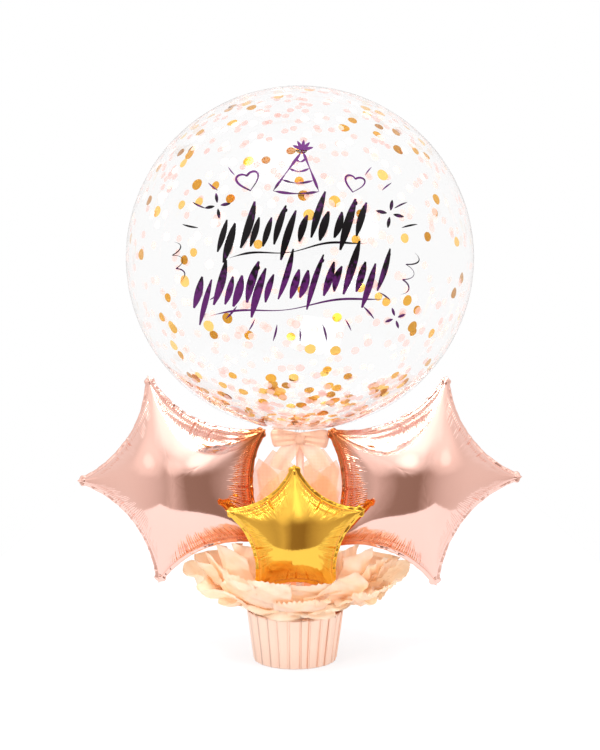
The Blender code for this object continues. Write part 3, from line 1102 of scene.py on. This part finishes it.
        if kind is Mark.HEART:
            t = np.linspace(0.02, math.tau - 0.02, 60)
            lobes = (13 * np.cos(t) - 5 * np.cos(2 * t) - 2 * np.cos(3 * t)) / 32
            self.curve(placed(np.stack([np.sin(t) ** 3 * 0.5, lobes], axis=-1)), size * 0.10, closed=True)
        elif kind is Mark.SPARK:
            for k in range(4):
                arm = np.array([math.cos(k * math.pi / 2), math.sin(k * math.pi / 2)])
                self.tapered(placed([arm * 0.12, arm * 0.5]), size * 0.13)
        elif kind is Mark.HAT:
            self.draw_hat(placed, size)
        elif kind is Mark.RAY:
            self.tapered(placed([(0.0, -0.5), (0.0, 0.5)]), size * 0.12, bow=size * 0.03)
        else:
            t = np.linspace(0, 1, 60)
            spin = 5.2 * math.pi * t
            swirl = np.stack([0.16 * np.sin(spin) * (1 - 0.4 * t), 0.5 - t + 0.05 * np.cos(spin)], axis=-1)
            self.curve(placed(swirl), size * 0.035)

    def build(self, ink: bpy.types.Material) -> None:
        """Draw the whole print.

        Args:
            ink: The ink.
        """
        self.brushed_row(-0.128, 0.100, 0.026, 0.026, seed=4, tall=0.052)
        self.brushed_row(-0.166, 0.132, -0.060, 0.030, seed=9, tall=0.055)
        self.mark(Mark.HAT, -0.003, 0.128, 0.074, -6)
        self.mark(Mark.HEART, -0.078, 0.112, 0.034, 14)
        self.mark(Mark.HEART, 0.082, 0.108, 0.030, -12)
        self.mark(Mark.SPARK, -0.124, 0.074, 0.040, 8)
        self.mark(Mark.SPARK, 0.136, 0.062, 0.044, -10)
        self.mark(Mark.SPARK, 0.146, -0.098, 0.034, 20)
        self.mark(Mark.SWIRL, 0.166, -0.030, 0.062, -16)
        self.mark(Mark.SWIRL, -0.186, -0.010, 0.056, 12)
        for k in range(9):
            bearing = math.radians(214 + 14 * k)
            x, z = 0.155 * math.cos(bearing), 0.136 * math.sin(bearing) + 0.012
            self.mark(Mark.RAY, x, z, 0.020 + 0.006 * (k % 2), math.degrees(bearing) - 90)
        for side in (-1, 1):
            for k in range(4):
                bearing = math.radians(14 + 13 * k)
                x, z = side * 0.172 * math.cos(bearing), 0.150 * math.sin(bearing) + 0.008
                self.mark(Mark.RAY, x, z, 0.026 - 0.003 * k, side * (math.degrees(bearing) - 90))
        self.draft.make("bubble_print", ink, "bubble_film")


@dataclass
class PleatedPot:
    """The pot of pleated foil card, open at its top, with its rolled foot and cut rim."""

    node: str = "pot"
    wall: float = 0.5 * MM
    pleats: int = 25
    step: float = 3.1 * MM
    foot_round: float = 4 * MM
    taper: float = 12 * MM
    teeth: float = 1.1 * MM
    levels: int = 16
    seed: int = 5
    # One pleat across its width: the share along it, and how far in it lies as a share of the step
    pleat: tuple[tuple[float, float], ...] = (
        (-0.060, 0.10), (-0.045, -0.06), (0.020, -0.04), (0.045, 0.62), (0.090, 0.66), (0.115, 0.10),
        (0.36, 0.34), (0.62, 0.38), (0.82, 0.50), (0.925, 0.95), (0.955, 0.98), (0.945, 0.55),
    )

    def build(self, card: bpy.types.Material) -> None:
        """Make the pot where its node is.

        Args:
            card: Its card.
        """
        low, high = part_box(self.node)
        rim, height = (high.x - low.x) / 2, high.z
        base, foot, floor = rim - self.taper, self.foot_round, self.wall
        random = np.random.default_rng(self.seed)
        widths = random.uniform(0.72, 1.28, self.pleats)
        edges = np.concatenate([[0.0], np.cumsum(widths / widths.sum())]) * math.tau
        shares, insets = np.array(self.pleat).T
        bearing = (edges[:-1, None] + shares * np.diff(edges)[:, None]).ravel()
        deep = random.uniform(0.75, 1.15, self.pleats)
        inset = np.maximum(insets * deep[:, None], -0.1).ravel()
        twist = random.uniform(-0.022, 0.022, self.pleats).repeat(len(shares))
        uneven = random.uniform(-0.7, 0.0, self.pleats).repeat(len(shares)) * MM
        teeth = np.where(np.arange(len(bearing)) % 2 == 0, 0.0, self.teeth)
        rows = [(base - foot, floor, 0.15), (base - 0.6 * foot, floor + 0.3 * MM, 0.4)]
        rows.append((base - 0.12 * foot, 0.25 * foot, 0.8))
        for share in np.arange(self.levels + 1) / self.levels:
            rows.append((base + (rim - base) * share, 0.7 * foot + (height - 0.7 * foot) * share, 1.0))
        grid = []
        for reach, up, depth in rows:
            share = up / height
            radius = reach - inset * self.step * depth * (1 - 0.25 * share) - 0.1 * MM
            level = up + uneven * share**6 - teeth * (share > 0.999)
            grid.append(around(radius, bearing + twist * share, level))
        points = np.array(grid)
        points[0, :, 2] = floor
        draft = MeshDraft()
        start = draft.add_grid(points, loop=True)
        draft.close_ring(start, len(bearing), np.array([0.0, 0.0, floor]), flip=True)
        draft.make("pot_pleated", card, "foil_card", [self.node], wall=self.wall)


@dataclass
class StandTube:
    """The slim tube, hollow, with a thin wall."""

    node: str = "stand_tube"
    wall: float = 0.9 * MM
    chamfer: float = 0.2 * MM
    columns: int = 48

    def build(self, plastic: bpy.types.Material) -> None:
        """Make the tube where its node is.

        Args:
            plastic: Its plastic.
        """
        low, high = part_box(self.node)
        radius, chamfer = (high.x - low.x) / 2, self.chamfer
        bearing = np.linspace(0, math.tau, self.columns, endpoint=False)
        profile = [(radius - self.wall, low.z), (radius - chamfer, low.z), (radius, low.z + 2 * chamfer)]
        profile += [(radius, z) for z in np.linspace(low.z + 0.02, high.z - 2 * chamfer, 24)]
        profile += [(radius - chamfer, high.z), (radius - self.wall, high.z), (radius - self.wall, low.z)]
        middle = ((low.x + high.x) / 2, 0.0)
        draft = MeshDraft()
        draft.add_grid(np.array([around(reach, bearing, z, middle) for reach, z in profile]), loop=True)
        draft.make("stand_tube_wall", plastic, "tube_plastic", [self.node])


@dataclass(frozen=True)
class Petal:
    """One free corner of a tissue sheet that comes out of the pot's mouth.

    It lies between two bearings in degrees. Its corner and its edges reach out past the rim.
    """

    first: float
    last: float
    corner: float
    rise: float
    edge: float
    arch: float = 0.029
    # How deep its folds are, in mm, and how many there are
    fold: float = 7.0
    folds: float = 2.5
    sag: float = 0.6
    slant: float = 0.0
    tilt: float = 0.0
    edge_drop: float = 0.0
    # In mm: how far its edge curls, its ruffles swing, a lapped fold's layers stand apart, and it laps
    curl: float = 0.0
    ruffle: float = 0.0
    layer_step: float = 0.0
    overlap: float = 0.0


@dataclass
class TissueCollar:
    """The ring of crushed tissue sheets round the pot's mouth."""

    rim: float = 0.0855
    rim_height: float = 0.090
    tuck: float = 0.024
    inset: float = 0.0185
    lean: float = 0.003
    sharpness: float = 1.12
    columns: int = 96
    rows: int = 40
    pink_depth: float = 1.7 * MM
    layer_gap: float = 1.2 * MM
    # Crush marks: how deep they are and how far apart
    crush: tuple[tuple[float, float], ...] = ((1.7 * MM, 70 * MM), (1.0 * MM, 40 * MM), (0.3 * MM, 19 * MM))

    def sheets(self) -> dict[str, tuple[Petal, ...]]:
        """List each sheet's petals by the node that it stands for.

        Returns:
            Petals for each node.
        """
        return {
            "tissue_left": (
                Petal(146, 192, 0.1185, 0.072, 0.0880, 0.029, 5, 1.4, edge_drop=0.1),
                Petal(156, 200, 0.074, 0.030, 0.058, 0.034, 7, 1.3, sag=0.8),
                Petal(150, 200, 0.094, 0.094, 0.068, 0.034, 5, 1.3, edge_drop=0.1),
            ),
            "tissue_left_front": (
                Petal(182, 234, 0.0945, 0.058, 0.0700, 0.029, 6, 1.5, ruffle=4, edge_drop=0.1),
                Petal(168, 216, 0.074, 0.101, 0.054, 0.036, 4, 1.3, edge_drop=0.1),
                Petal(184, 230, 0.058, 0.120, 0.040, 0.042, 4, 1.2, edge_drop=0.1),
                Petal(196, 234, 0.042, 0.132, 0.008, 0.056, 3, 1.1, edge_drop=0.12),
                Petal(188, 240, 0.066, 0.036, 0.050, 0.034, 7, 1.5, sag=0.8, ruffle=4),
            ),
            "tissue_front_left": (
                Petal(214, 250, 0.0800, 0.078, 0.0640, 0.029, 6, 1.3, slant=0.1, edge_drop=0.15),
                Petal(
                    232, 282, 0.074, 0.078, 0.070, 0.022, 1.5, sag=0.4, overlap=55, layer_step=-9, tilt=-0.01
                ),
                Petal(218, 264, 0.050, 0.024, 0.040, 0.036, 5, 1.4, sag=0.9),
                Petal(240, 274, 0.040, 0.010, 0.032, 0.044, 4, 1.2, sag=1.0),
            ),
            "tissue_front_right": (
                Petal(276, 322, 0.0815, 0.090, 0.0600, 0.029, 5, 1.2, slant=0.4, edge_drop=0.4),
                Petal(264, 316, 0.064, 0.052, 0.056, 0.026, 3, 1.2, overlap=34, layer_step=-7, tilt=0.006),
                Petal(262, 304, 0.040, 0.012, 0.034, 0.044, 4, 1.3, sag=1.0),
                Petal(276, 322, 0.052, 0.024, 0.042, 0.036, 5, 1.4, sag=0.9),
            ),
            "tissue_right_front": (
                Petal(308, 360, 0.1045, 0.058, 0.0700, 0.029, 6, 1.5, ruffle=4, edge_drop=0.1),
                Petal(326, 374, 0.078, 0.095, 0.058, 0.036, 4, 1.3, edge_drop=0.1),
                Petal(312, 358, 0.060, 0.116, 0.042, 0.042, 4, 1.2, edge_drop=0.1),
                Petal(308, 347, 0.044, 0.121, 0.010, 0.054, 3, 1.1, edge_drop=0.12),
                Petal(300, 352, 0.072, 0.036, 0.054, 0.034, 7, 1.5, sag=0.8, ruffle=4),
            ),
            "tissue_right": (
                Petal(350, 394, 0.1305, 0.066, 0.0880, 0.029, 5, 1.4, edge_drop=0.1),
                Petal(342, 384, 0.082, 0.032, 0.062, 0.034, 7, 1.3, sag=0.8),
                Petal(342, 390, 0.100, 0.090, 0.070, 0.034, 5, 1.3, edge_drop=0.1),
            ),
            "tissue_back_right": (
                Petal(30, 92, 0.0795, 0.075, 0.0645, fold=8, folds=3.5),
                Petal(36, 84, 0.050, 0.020, 0.044, arch=0.026, curl=-7),
            ),
            "tissue_back_left": (
                Petal(88, 152, 0.0795, 0.075, 0.0645, fold=8, folds=3.5),
                Petal(96, 146, 0.050, 0.020, 0.044, arch=0.026, curl=-7),
            ),
        }

    def petal_grid(self, petal: Petal, layer: int, seed: int) -> np.ndarray:
        """Shape one petal.

        Args:
            petal: Its sizes.
            layer: How many petals of the sheet lie inside it.
            seed: The seed of its creases.

        Returns:
            Points as rows, columns and 3 values.
        """
        random = np.random.default_rng(seed)
        share, across = spans(self.rows + 1, self.columns + 1)
        side = np.abs(np.clip(across - petal.slant, -1, 1)) ** self.sharpness
        reach = self.rim + petal.corner + (petal.edge - petal.corner) * side
        end_height = self.rim_height + petal.rise * (1 - petal.edge_drop * side) + petal.tilt * across
        end_height = end_height + 0.004 * np.sin(across * 2.1 + random.uniform(0, 6))
        foot = self.rim - self.inset - self.layer_gap * layer
        outs = (foot, foot + self.lean, (self.rim + reach) / 2, reach)
        arch = self.rim_height + petal.arch
        ups = (self.rim_height - self.tuck, arch, self.rim_height + petal.arch * petal.sag, end_height)
        pulls = ((1 - share) ** 3, 3 * share * (1 - share) ** 2, 3 * share**2 * (1 - share), share**3)
        out, up = (sum(pull * part for pull, part in zip(pulls, parts)) for parts in (outs, ups))
        zigzag = np.where(np.arange(self.columns + 1) % 2 == 0, 0.0, -self.pink_depth)
        out = out + zigzag * (share > 1 - 0.5 / self.rows)
        half = math.radians(petal.last - petal.first) / 2
        swing = 1 + 0.05 * np.sin(share * 5 + random.uniform(0, 6))
        bearing = math.radians((petal.first + petal.last) / 2) + half * across * swing
        free = smoothstep(0.18, 0.95, share)
        turn = random.uniform(0, 6) + 0.9 * np.sin(3 * share + random.uniform(0, 6))
        phase = math.pi * petal.folds * across + turn
        lapped = petal.ruffle * np.sin(2 * phase) + petal.overlap * np.sin(1.2 * math.pi * across)
        bearing = bearing - free**1.5 * lapped * MM / out
        grid = around(out, bearing, up)
        normal = grid_normals(grid, loop=False)
        arc = np.cumsum(np.linalg.norm(np.gradient(grid, axis=0), axis=-1), axis=0)
        bend = petal.fold * crease(phase, 0.75) + petal.layer_step * np.sin(across * math.pi / 2)
        bend = bend * MM * free
        for size, length in self.crush:
            for _ in range(2):
                angle = random.uniform(0, math.pi)
                line = (arc * math.cos(angle) + bearing * out * math.sin(angle)) * math.tau / length
                wander = 0.8 * np.sin(line * 0.37 + random.uniform(0, 6))
                bend = bend + size * free * crease(line + wander + random.uniform(0, 6), 0.95)
        curl = 0.6 + 0.4 * np.sin(4 * across + random.uniform(0, 6))
        bend = bend + petal.curl * MM * smoothstep(0.72, 1.0, share) * curl
        return grid + normal * bend[..., None]

    def build(self, paper: bpy.types.Material) -> None:
        """Make every sheet.

        Args:
            paper: The tissue paper.
        """
        for number, (node, petals) in enumerate(self.sheets().items()):
            draft = MeshDraft()
            for layer, petal in enumerate(petals):
                draft.add_grid(self.petal_grid(petal, layer, 40 + number * 7 + layer))
            sheet = draft.make(f"{node}_paper", paper, "tissue_paper", [node])


@dataclass(frozen=True)
class Leaf:
    """One pointed layer of a folded net sheet: its lean from upright in degrees and its sizes."""

    lean: float
    length: float
    half_width: float
    depth: float
    drop: float = 0.034


@dataclass
class NetFan:
    """Two sheets of sheer net, each folded on itself, that stand behind the tube."""

    foot_x: float = 0.004
    foot_height: float = 0.066
    foot_share: float = 0.45
    columns: int = 40
    rows: int = 44

    def sheets(self) -> dict[str, tuple[Leaf, ...]]:
        """List each sheet's layers by the node that it stands for.

        Returns:
            Layers for each node.
        """
        return {
            "net_left": (
                Leaf(13.8, 0.292, 0.026, 0.019),
                Leaf(8.6, 0.302, 0.034, 0.023),
                Leaf(3.2, 0.272, 0.038, 0.016),
                Leaf(11.0, 0.252, 0.030, 0.013, drop=0.026),
                Leaf(15.0, 0.232, 0.030, 0.0105, drop=0.040),
                Leaf(6.0, 0.238, 0.034, 0.0210, drop=0.044),
            ),
            "net_right": (
                Leaf(-14.2, 0.288, 0.026, 0.031),
                Leaf(-9.0, 0.303, 0.034, 0.035),
                Leaf(-4.6, 0.276, 0.038, 0.028),
                Leaf(-11.5, 0.258, 0.030, 0.025, drop=0.026),
                Leaf(-15.5, 0.236, 0.030, 0.0225, drop=0.040),
                Leaf(-6.5, 0.240, 0.034, 0.0330, drop=0.044),
            ),
        }

    def leaf_grid(self, leaf: Leaf, seed: int) -> np.ndarray:
        """Shape one layer.

        Args:
            leaf: Its sizes.
            seed: The seed of its folds.

        Returns:
            Points as rows, columns and 3 values.
        """
        random = np.random.default_rng(seed)
        share, across = spans(self.rows + 1, self.columns + 1)
        length = leaf.length - leaf.drop * np.abs(across) ** 1.05
        opened = self.foot_share + (1 - self.foot_share) * np.sin(np.clip(share * 1.3, 0, 1) * math.pi / 2)
        lean = math.radians(leaf.lean)
        side = leaf.half_width * across * opened + 0.002 * np.sin(share * 6 + random.uniform(0, 6))
        x = self.foot_x - math.sin(lean) * length * share + math.cos(lean) * side
        z = self.foot_height + math.cos(lean) * length * share + math.sin(lean) * side * share
        wave = 2.4 * MM * share * crease(math.pi * 1.4 * across + random.uniform(0, 6) + 1.5 * share, 0.9)
        curl = 2.5 * MM * np.abs(across) ** 3 * smoothstep(0.6, 1.0, share) * random.choice([-1, 1])
        drift = 0.9 * MM * np.sin(share * 9 + across * 4 + random.uniform(0, 6)) * share
        return np.stack([x, leaf.depth + wave + curl + drift, z], axis=-1)

    def build(self, net: bpy.types.Material) -> None:
        """Make both sheets.

        Args:
            net: The net.
        """
        for number, (node, leaves) in enumerate(self.sheets().items()):
            draft = MeshDraft()
            for layer, leaf in enumerate(leaves):
                draft.add_grid(self.leaf_grid(leaf, 70 + number * 9 + layer))
            sheet = draft.make(f"{node}_sheer", net, "net", [node])


@dataclass
class RibbonBow:
    """The organza bow: two boxy loops, two tails, a wrapped knot and the band round the neck."""

    node: str = "bow"
    loop_length: float = 0.050
    loop_height: float = 0.0305
    loop_depth: float = 0.016
    sweep: float = 0.26
    tail_length: float = 0.068
    tail_width: float = 0.030
    tail_lean: float = 38.0
    knot: tuple[float, float, float] = (9.5 * MM, 6.8 * MM, 10 * MM)
    band_radius: float = 10.2 * MM
    band_half: float = 6.5 * MM
    ribbon_width: float = 0.032
    ribbon_length: float = 0.50
    front_inset: float = 7 * MM
    raised: float = 1 * MM
    columns: int = 28

    def loop_grid(self, side: int) -> np.ndarray:
        """Shape one loop of ribbon.

        Args:
            side: -1 for the left loop and 1 for the right one.

        Returns:
            Points as rows along the ribbon, columns across it and 3 values.
        """
        run, across = spans(60, self.columns + 1)
        angle = math.tau * run
        out = (1 - np.cos(angle)) / 2
        reach = self.loop_length * out**0.72
        height = self.loop_height / 2 * (0.56 + 0.44 * np.clip(out * 1.35, 0, 1) ** 0.8)
        droop = 0.002 - 0.003 * out * (1 + 0.4 * side)
        thick = self.loop_depth / 2 * np.sin(angle) * (0.6 + 0.4 * out)
        pleat = 1.6 * MM * crease(across * 8 + side + out, 0.9) * (1 - 0.8 * out)
        rounded = 0.0045 * np.abs(across) ** 4 * out
        x = side * (reach - rounded + 0.0015 * np.sin(across * 2.2) * out)
        y = -thick + pleat + self.sweep * np.clip(reach - 0.008, 0, None)
        z = height * across * (1 + 0.05 * np.sin(angle * 2)) + droop
        return np.stack([x, y, z], axis=-1)

    def tail_grid(self, side: int) -> np.ndarray:
        """Shape one tail of ribbon.

        Args:
            side: -1 for the left tail and 1 for the right one.

        Returns:
            Points as rows along the ribbon, columns across it and 3 values.
        """
        run, across = spans(36, self.columns + 1)
        lean = math.radians(self.tail_lean) * side
        along = run * self.tail_length * (1 - 0.14 * (1 - across * side) / 2)
        width = self.tail_width / 2 * (0.3 + 0.7 * np.clip(run * 2.2, 0, 1) ** 0.8)
        out = width * across + 0.004 * np.sin(math.pi * run) * side
        x = np.sin(lean) * along + np.cos(lean) * out
        z = -np.cos(lean) * along + np.sin(lean) * out
        y = 1.8 * MM * np.sin(across * 4.2 + side) * (0.35 + 0.65 * run) + 1.5 * MM * np.sin(run * 5)
        return np.stack([x, y, z], axis=-1)

    def build(self, ribbon: bpy.types.Material) -> None:
        """Make the bow where its node is.

        Args:
            ribbon: Its ribbon.
        """
        tube_low, tube_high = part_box("stand_tube")
        middle, height = (tube_low.x + tube_high.x) / 2, tube_high.z
        origin = np.array([middle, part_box(self.node)[0].y + self.front_inset, height + self.raised])
        draft = MeshDraft()
        for side in (-1, 1):
            draft.add_grid(self.loop_grid(side) + origin, flip=side > 0)
            draft.add_grid(self.tail_grid(side) + origin + (0, -1 * MM, -2 * MM))
        bearing = np.linspace(0, math.tau, 48, endpoint=False)
        crimp = 1 + 0.05 * np.cos(9 * bearing)
        half_x, half_y, half_z = self.knot
        flat_x, flat_y = np.sign(np.cos(bearing)) * np.abs(np.cos(bearing)) ** 0.7, np.sin(bearing)
        rows = []
        for tilt in np.linspace(0.05, math.pi - 0.05, 26):
            x, y = half_x * flat_x * math.sin(tilt) ** 0.6, half_y * flat_y * math.sin(tilt) ** 0.8
            up = half_z * math.copysign(abs(math.cos(tilt)) ** 0.8, math.cos(tilt))
            rows.append(np.stack([x * crimp, y * crimp, np.full(len(bearing), up)], axis=-1))
        knot = draft.add_grid(np.array(rows) + origin, loop=True, flip=True)
        draft.close_ring(knot, len(bearing), origin + (0, 0, half_z))
        last = knot + (len(rows) - 1) * len(bearing)
        draft.close_ring(last, len(bearing), origin - (0, 0, half_z), flip=True)
        band = []
        for up in np.linspace(-self.band_half, self.band_half, 12):
            swell = 0.9 * MM * math.cos(up / self.band_half * math.pi / 2)
            ripple = 0.5 * MM * np.sin(up / MM * 1.9 + 0.6 * np.sin(bearing * 2))
            band.append(around(self.band_radius + swell + ripple, bearing, height + up, (middle, 0.0)))
        draft.add_grid(np.array(band), loop=True)
        bow = draft.make("bow_ribbon", ribbon, "organza_ribbon", [self.node])


@dataclass(frozen=True)
class SoftBox:
    """A soft box as the foil mirrors it: its bearing and height in degrees, spread and strength."""

    bearing: float
    height: float
    inner: float
    outer: float
    strength: float

    def direction(self) -> tuple[float, float, float]:
        """Work out the direction in which it stands, where bearing 0 is the front."""
        turn, up = math.radians(self.bearing), math.radians(self.height)
        return (math.cos(up) * math.sin(turn), -math.cos(up) * math.cos(turn), math.sin(up))


@dataclass
class Studio:
    """A pale table, soft boxes and the camera."""

    eye: tuple[float, float, float] = (0.0086, -2.1, 0.626)
    pitch: float = 86.5
    lens: float = 58.3
    table_front: float = -0.46
    table_half: float = 0.72
    table_far: float = 3.0
    table_glow: float = 0.69
    fill: float = 1.2
    aim: tuple[float, float, float] = (0.0, 0.0, 0.35)
    boxes: tuple[SoftBox, ...] = (
        SoftBox(-60, 22, 0, 9, 0.35),
        SoftBox(-60, 24, 0, 24, 0.30),
        SoftBox(6, 38, 0, 12, 0.60),
        SoftBox(6, 42, 0, 26, 0.35),
        SoftBox(57, 26, 0, 9, 0.35),
        SoftBox(57, 28, 0, 24, 0.30),
        SoftBox(-24, 27, 0, 15, 0.35),
        SoftBox(-35, 64, 10, 30, 0.5),
        SoftBox(40, 66, 10, 30, 0.5),
    )

    def room(self, add: Adder) -> bpy.types.Node:
        """Describe the room that the foil mirrors.

        Args:
            add: The function that adds a node to the world.

        Returns:
            The node that gives the room's colour.
        """
        direction = add("TexCoord").outputs["Generated"]
        parts = add("SeparateXYZ", {"Vector": direction}).outputs
        spread = {"From Min": -1.0, "From Max": 1.0}
        smooth = {"interpolation_type": "SMOOTHSTEP"}
        ceiling = {
            0.50: (0.72, 0.62, 0.58),
            0.64: (0.84, 0.76, 0.72),
            0.82: (0.94, 0.88, 0.86),
            0.89: (1.10, 1.08, 1.07),
            0.96: (1.30, 1.28, 1.27),
        }
        walls = {
            0.00: (0.94, 0.86, 0.83),
            0.08: (0.82, 0.73, 0.70),
            0.20: (0.62, 0.53, 0.49),
            0.28: (0.74, 0.64, 0.60),
            0.34: (0.57, 0.47, 0.43),
            0.44: (0.33, 0.24, 0.20),
            0.66: (0.31, 0.22, 0.18),
            0.80: (0.56, 0.46, 0.42),
            1.00: (0.92, 0.84, 0.81),
        }
        above = add("ValToRGB", {"Fac": add("MapRange", {"Value": parts["Z"], **spread})}, ceiling)
        level = add("ValToRGB", {"Fac": add("MapRange", {"Value": parts["X"], **spread})}, walls)
        lowness = add("MapRange", {"Value": parts["Z"], "From Min": 0.58, "From Max": 0.26}, **smooth)
        front = add("Mix", {0: lowness, 6: above, 7: level}, data_type="RGBA").outputs[2]
        behind = add("MapRange", {"Value": parts["Y"], "From Min": -0.35, "From Max": 0.30}, **smooth)
        total = add("Mix", {0: behind, 6: front, 7: (0.95, 0.92, 0.91, 1.0)}, data_type="RGBA").outputs[2]
        for box in self.boxes:
            facing = add("VectorMath", {0: direction, 1: box.direction()}, operation="DOT_PRODUCT")
            edges = [math.cos(math.radians(angle)) for angle in (box.outer, box.inner)]
            near = {"From Min": edges[0], "From Max": edges[1], "To Max": box.strength}
            glow = add("MapRange", {"Value": facing.outputs["Value"], **near}, **smooth)
            total = add("VectorMath", {0: total, 1: glow}, operation="ADD")
        return total

    def build_world(self) -> None:
        """White for the eye, soft white light for matte things, and the room for mirrors."""
        world = bpy.data.worlds.new("studio")
        bpy.context.scene.world = world
        add = node_adder(world)
        room = add("Background", {"Color": self.room(add)})
        plain = add("Background", {"Color": WHITE})
        fill = add("Background", {"Color": WHITE, "Strength": self.fill})
        ray = add("LightPath").outputs
        matte = add("MixShader", {0: ray["Is Diffuse Ray"], 1: plain, 2: fill})
        not_through = add("Math", {0: 1.0, 1: ray["Is Transmission Ray"]}, operation="SUBTRACT")
        mirrored = add("Math", {0: ray["Is Glossy Ray"], 1: not_through}, operation="MULTIPLY")
        add("OutputWorld", {"Surface": add("MixShader", {0: mirrored, 1: matte, 2: room})})

    def build_table(self) -> None:
        """A plain white table that ends just before the camera's view."""
        front, far, half = self.table_front, self.table_far, self.table_half
        mesh = bpy.data.meshes.new("table")
        corners = [(-half, front, 0.0), (half, front, 0.0), (half, far, 0.0), (-half, far, 0.0)]
        mesh.from_pydata(corners, [], [(0, 1, 2, 3)])
        table = bpy.data.objects.new("table", mesh)
        bpy.context.scene.collection.objects.link(table)
        material = bpy.data.materials.new("white_table")
        add = node_adder(material)
        mottle = add("TexNoise", {"Vector": add("TexCoord").outputs["Object"], "Scale": 3.0})
        shade = add("ValToRGB", {"Fac": mottle}, {0.3: "8C8D90", 0.7: "929295"})
        matte = {"Base Color": shade, "Roughness": 0.9, "Specular IOR Level": 0.0}
        light = {"Emission Color": WHITE, "Emission Strength": self.table_glow}
        add("OutputMaterial", {"Surface": add("BsdfPrincipled", {**matte, **light})})
        mesh.materials.append(material)

    def add_box_light(self, name: str, place: Sequence[float], size: float, power: float) -> None:
        """Hang a soft box that lights matte things.

        Args:
            name: Its name.
            place: Where it is.
            size: The length of its sides.
            power: Its power in watts.
        """
        data = bpy.data.lights.new(name, "AREA")
        data.shape = "SQUARE"
        data.size = size
        data.energy = power
        light = bpy.data.objects.new(name, data)
        light.location = place
        light.rotation_euler = (Vector(self.aim) - Vector(place)).to_track_quat("-Z", "Y").to_euler()
        light.visible_glossy = False
        bpy.context.scene.collection.objects.link(light)

    def build(self) -> None:
        """Set up the table, the lights and the camera."""
        self.build_world()
        self.build_table()
        self.add_box_light("box_above", (-0.4, -0.9, 2.3), 1.0, 42.0)
        self.add_box_light("box_left", (-1.5, -1.7, 1.2), 0.6, 17.0)
        self.add_box_light("box_right", (1.5, -1.7, 1.4), 0.6, 9.0)
        data = bpy.data.cameras.new("camera")
        data.lens = self.lens
        camera = bpy.data.objects.new("camera", data)
        camera.location = self.eye
        camera.rotation_euler = (math.radians(self.pitch), 0.0, 0.0)
        bpy.context.scene.collection.objects.link(camera)
        bpy.context.scene.camera = camera
        bpy.context.scene.view_settings.view_transform = "Standard"


def main() -> None:
    """Build every piece, dress it and report it."""
    logging.basicConfig(level=logging.INFO, format="%(name)s: %(message)s")
    Studio().build()
    rose = MetallisedFoil("rose_foil", "F6CABD").build()
    gold = MetallisedFoil("gold_foil", "F3C04C", "F3C04C", roughness=0.10).build()
    left = ((111.4, 0.1945), (182.1, 0.1960), (257.0, 0.1860), (326.0, 0.190), (32.1, 0.1700))
    right = ((109.9, 0.1950), (179.4, 0.1990), (258.5, 0.1875), (326.0, 0.195), (31.2, 0.1770))
    front = ((90.9, 0.1225), (158.9, 0.1255), (234.5, 0.1165), (306.5, 0.1165), (21.9, 0.1255))
    # The pitch and depth of the puckers, and the points along a side
    wide, narrow = (4.5 * MM, 1.9 * MM, 288), (3.4 * MM, 1.1 * MM, 240)
    FoilStar(
        "star_left", "rose_foil", left, (-0.1936, 0.3150), 0.125, *wide, seed=21, turn=-10, lean=6
    ).build(rose)
    FoilStar(
        "star_right", "rose_foil", right, (0.2067, 0.3127), 0.125, *wide, seed=22, turn=10, lean=6,
        mirrored=True,
    ).build(rose)
    FoilStar("star_front", "gold_foil", front, (0.0011, 0.2340), 0.078, *narrow, seed=23).build(gold)
    gilt = PunchedDiscs("gold_confetti", {0.0: "B9791A", 0.45: "E9A92F", 1.0: "FFD77A"}, 0.85, 0.22)
    pink = PunchedDiscs("pink_confetti", {0.0: "FDD4CB", 1.0: "F6B6AA"}, 0.0, 0.8, alpha=0.58)
    bubble = Bubble()
    bubble.build_film(ClearFilm().build())
    for kind in (
        Confetti("confetti_gold", "gold_foil", gilt, 225, 9.2 * MM, 20, 2.6 * MM, 0.30),
        Confetti("confetti_pink", "tissue_paper", pink, 1000, 7.0 * MM, 14, 0.5 * MM, 0.18),
    ):
        bubble.build_confetti(kind)
    ink = PrintInk(low=bubble.centre[2] - 0.15, high=bubble.centre[2] + 0.17)
    BubblePrint(bubble).build(ink.build())
    StandTube().build(TubePlastic().build())
    PleatedPot().build(FoilCard().build())
    TissueCollar().build(TissuePaper().build())
    NetFan().build(SheerCloth("net", "FFC494", "F7A670", 0.60, glow=0.24).build())
    RibbonBow().build(SheerCloth("organza_ribbon", "F3C5A9", "E6AE8D", 0.86).build())


if __name__ == "__main__":
    main()
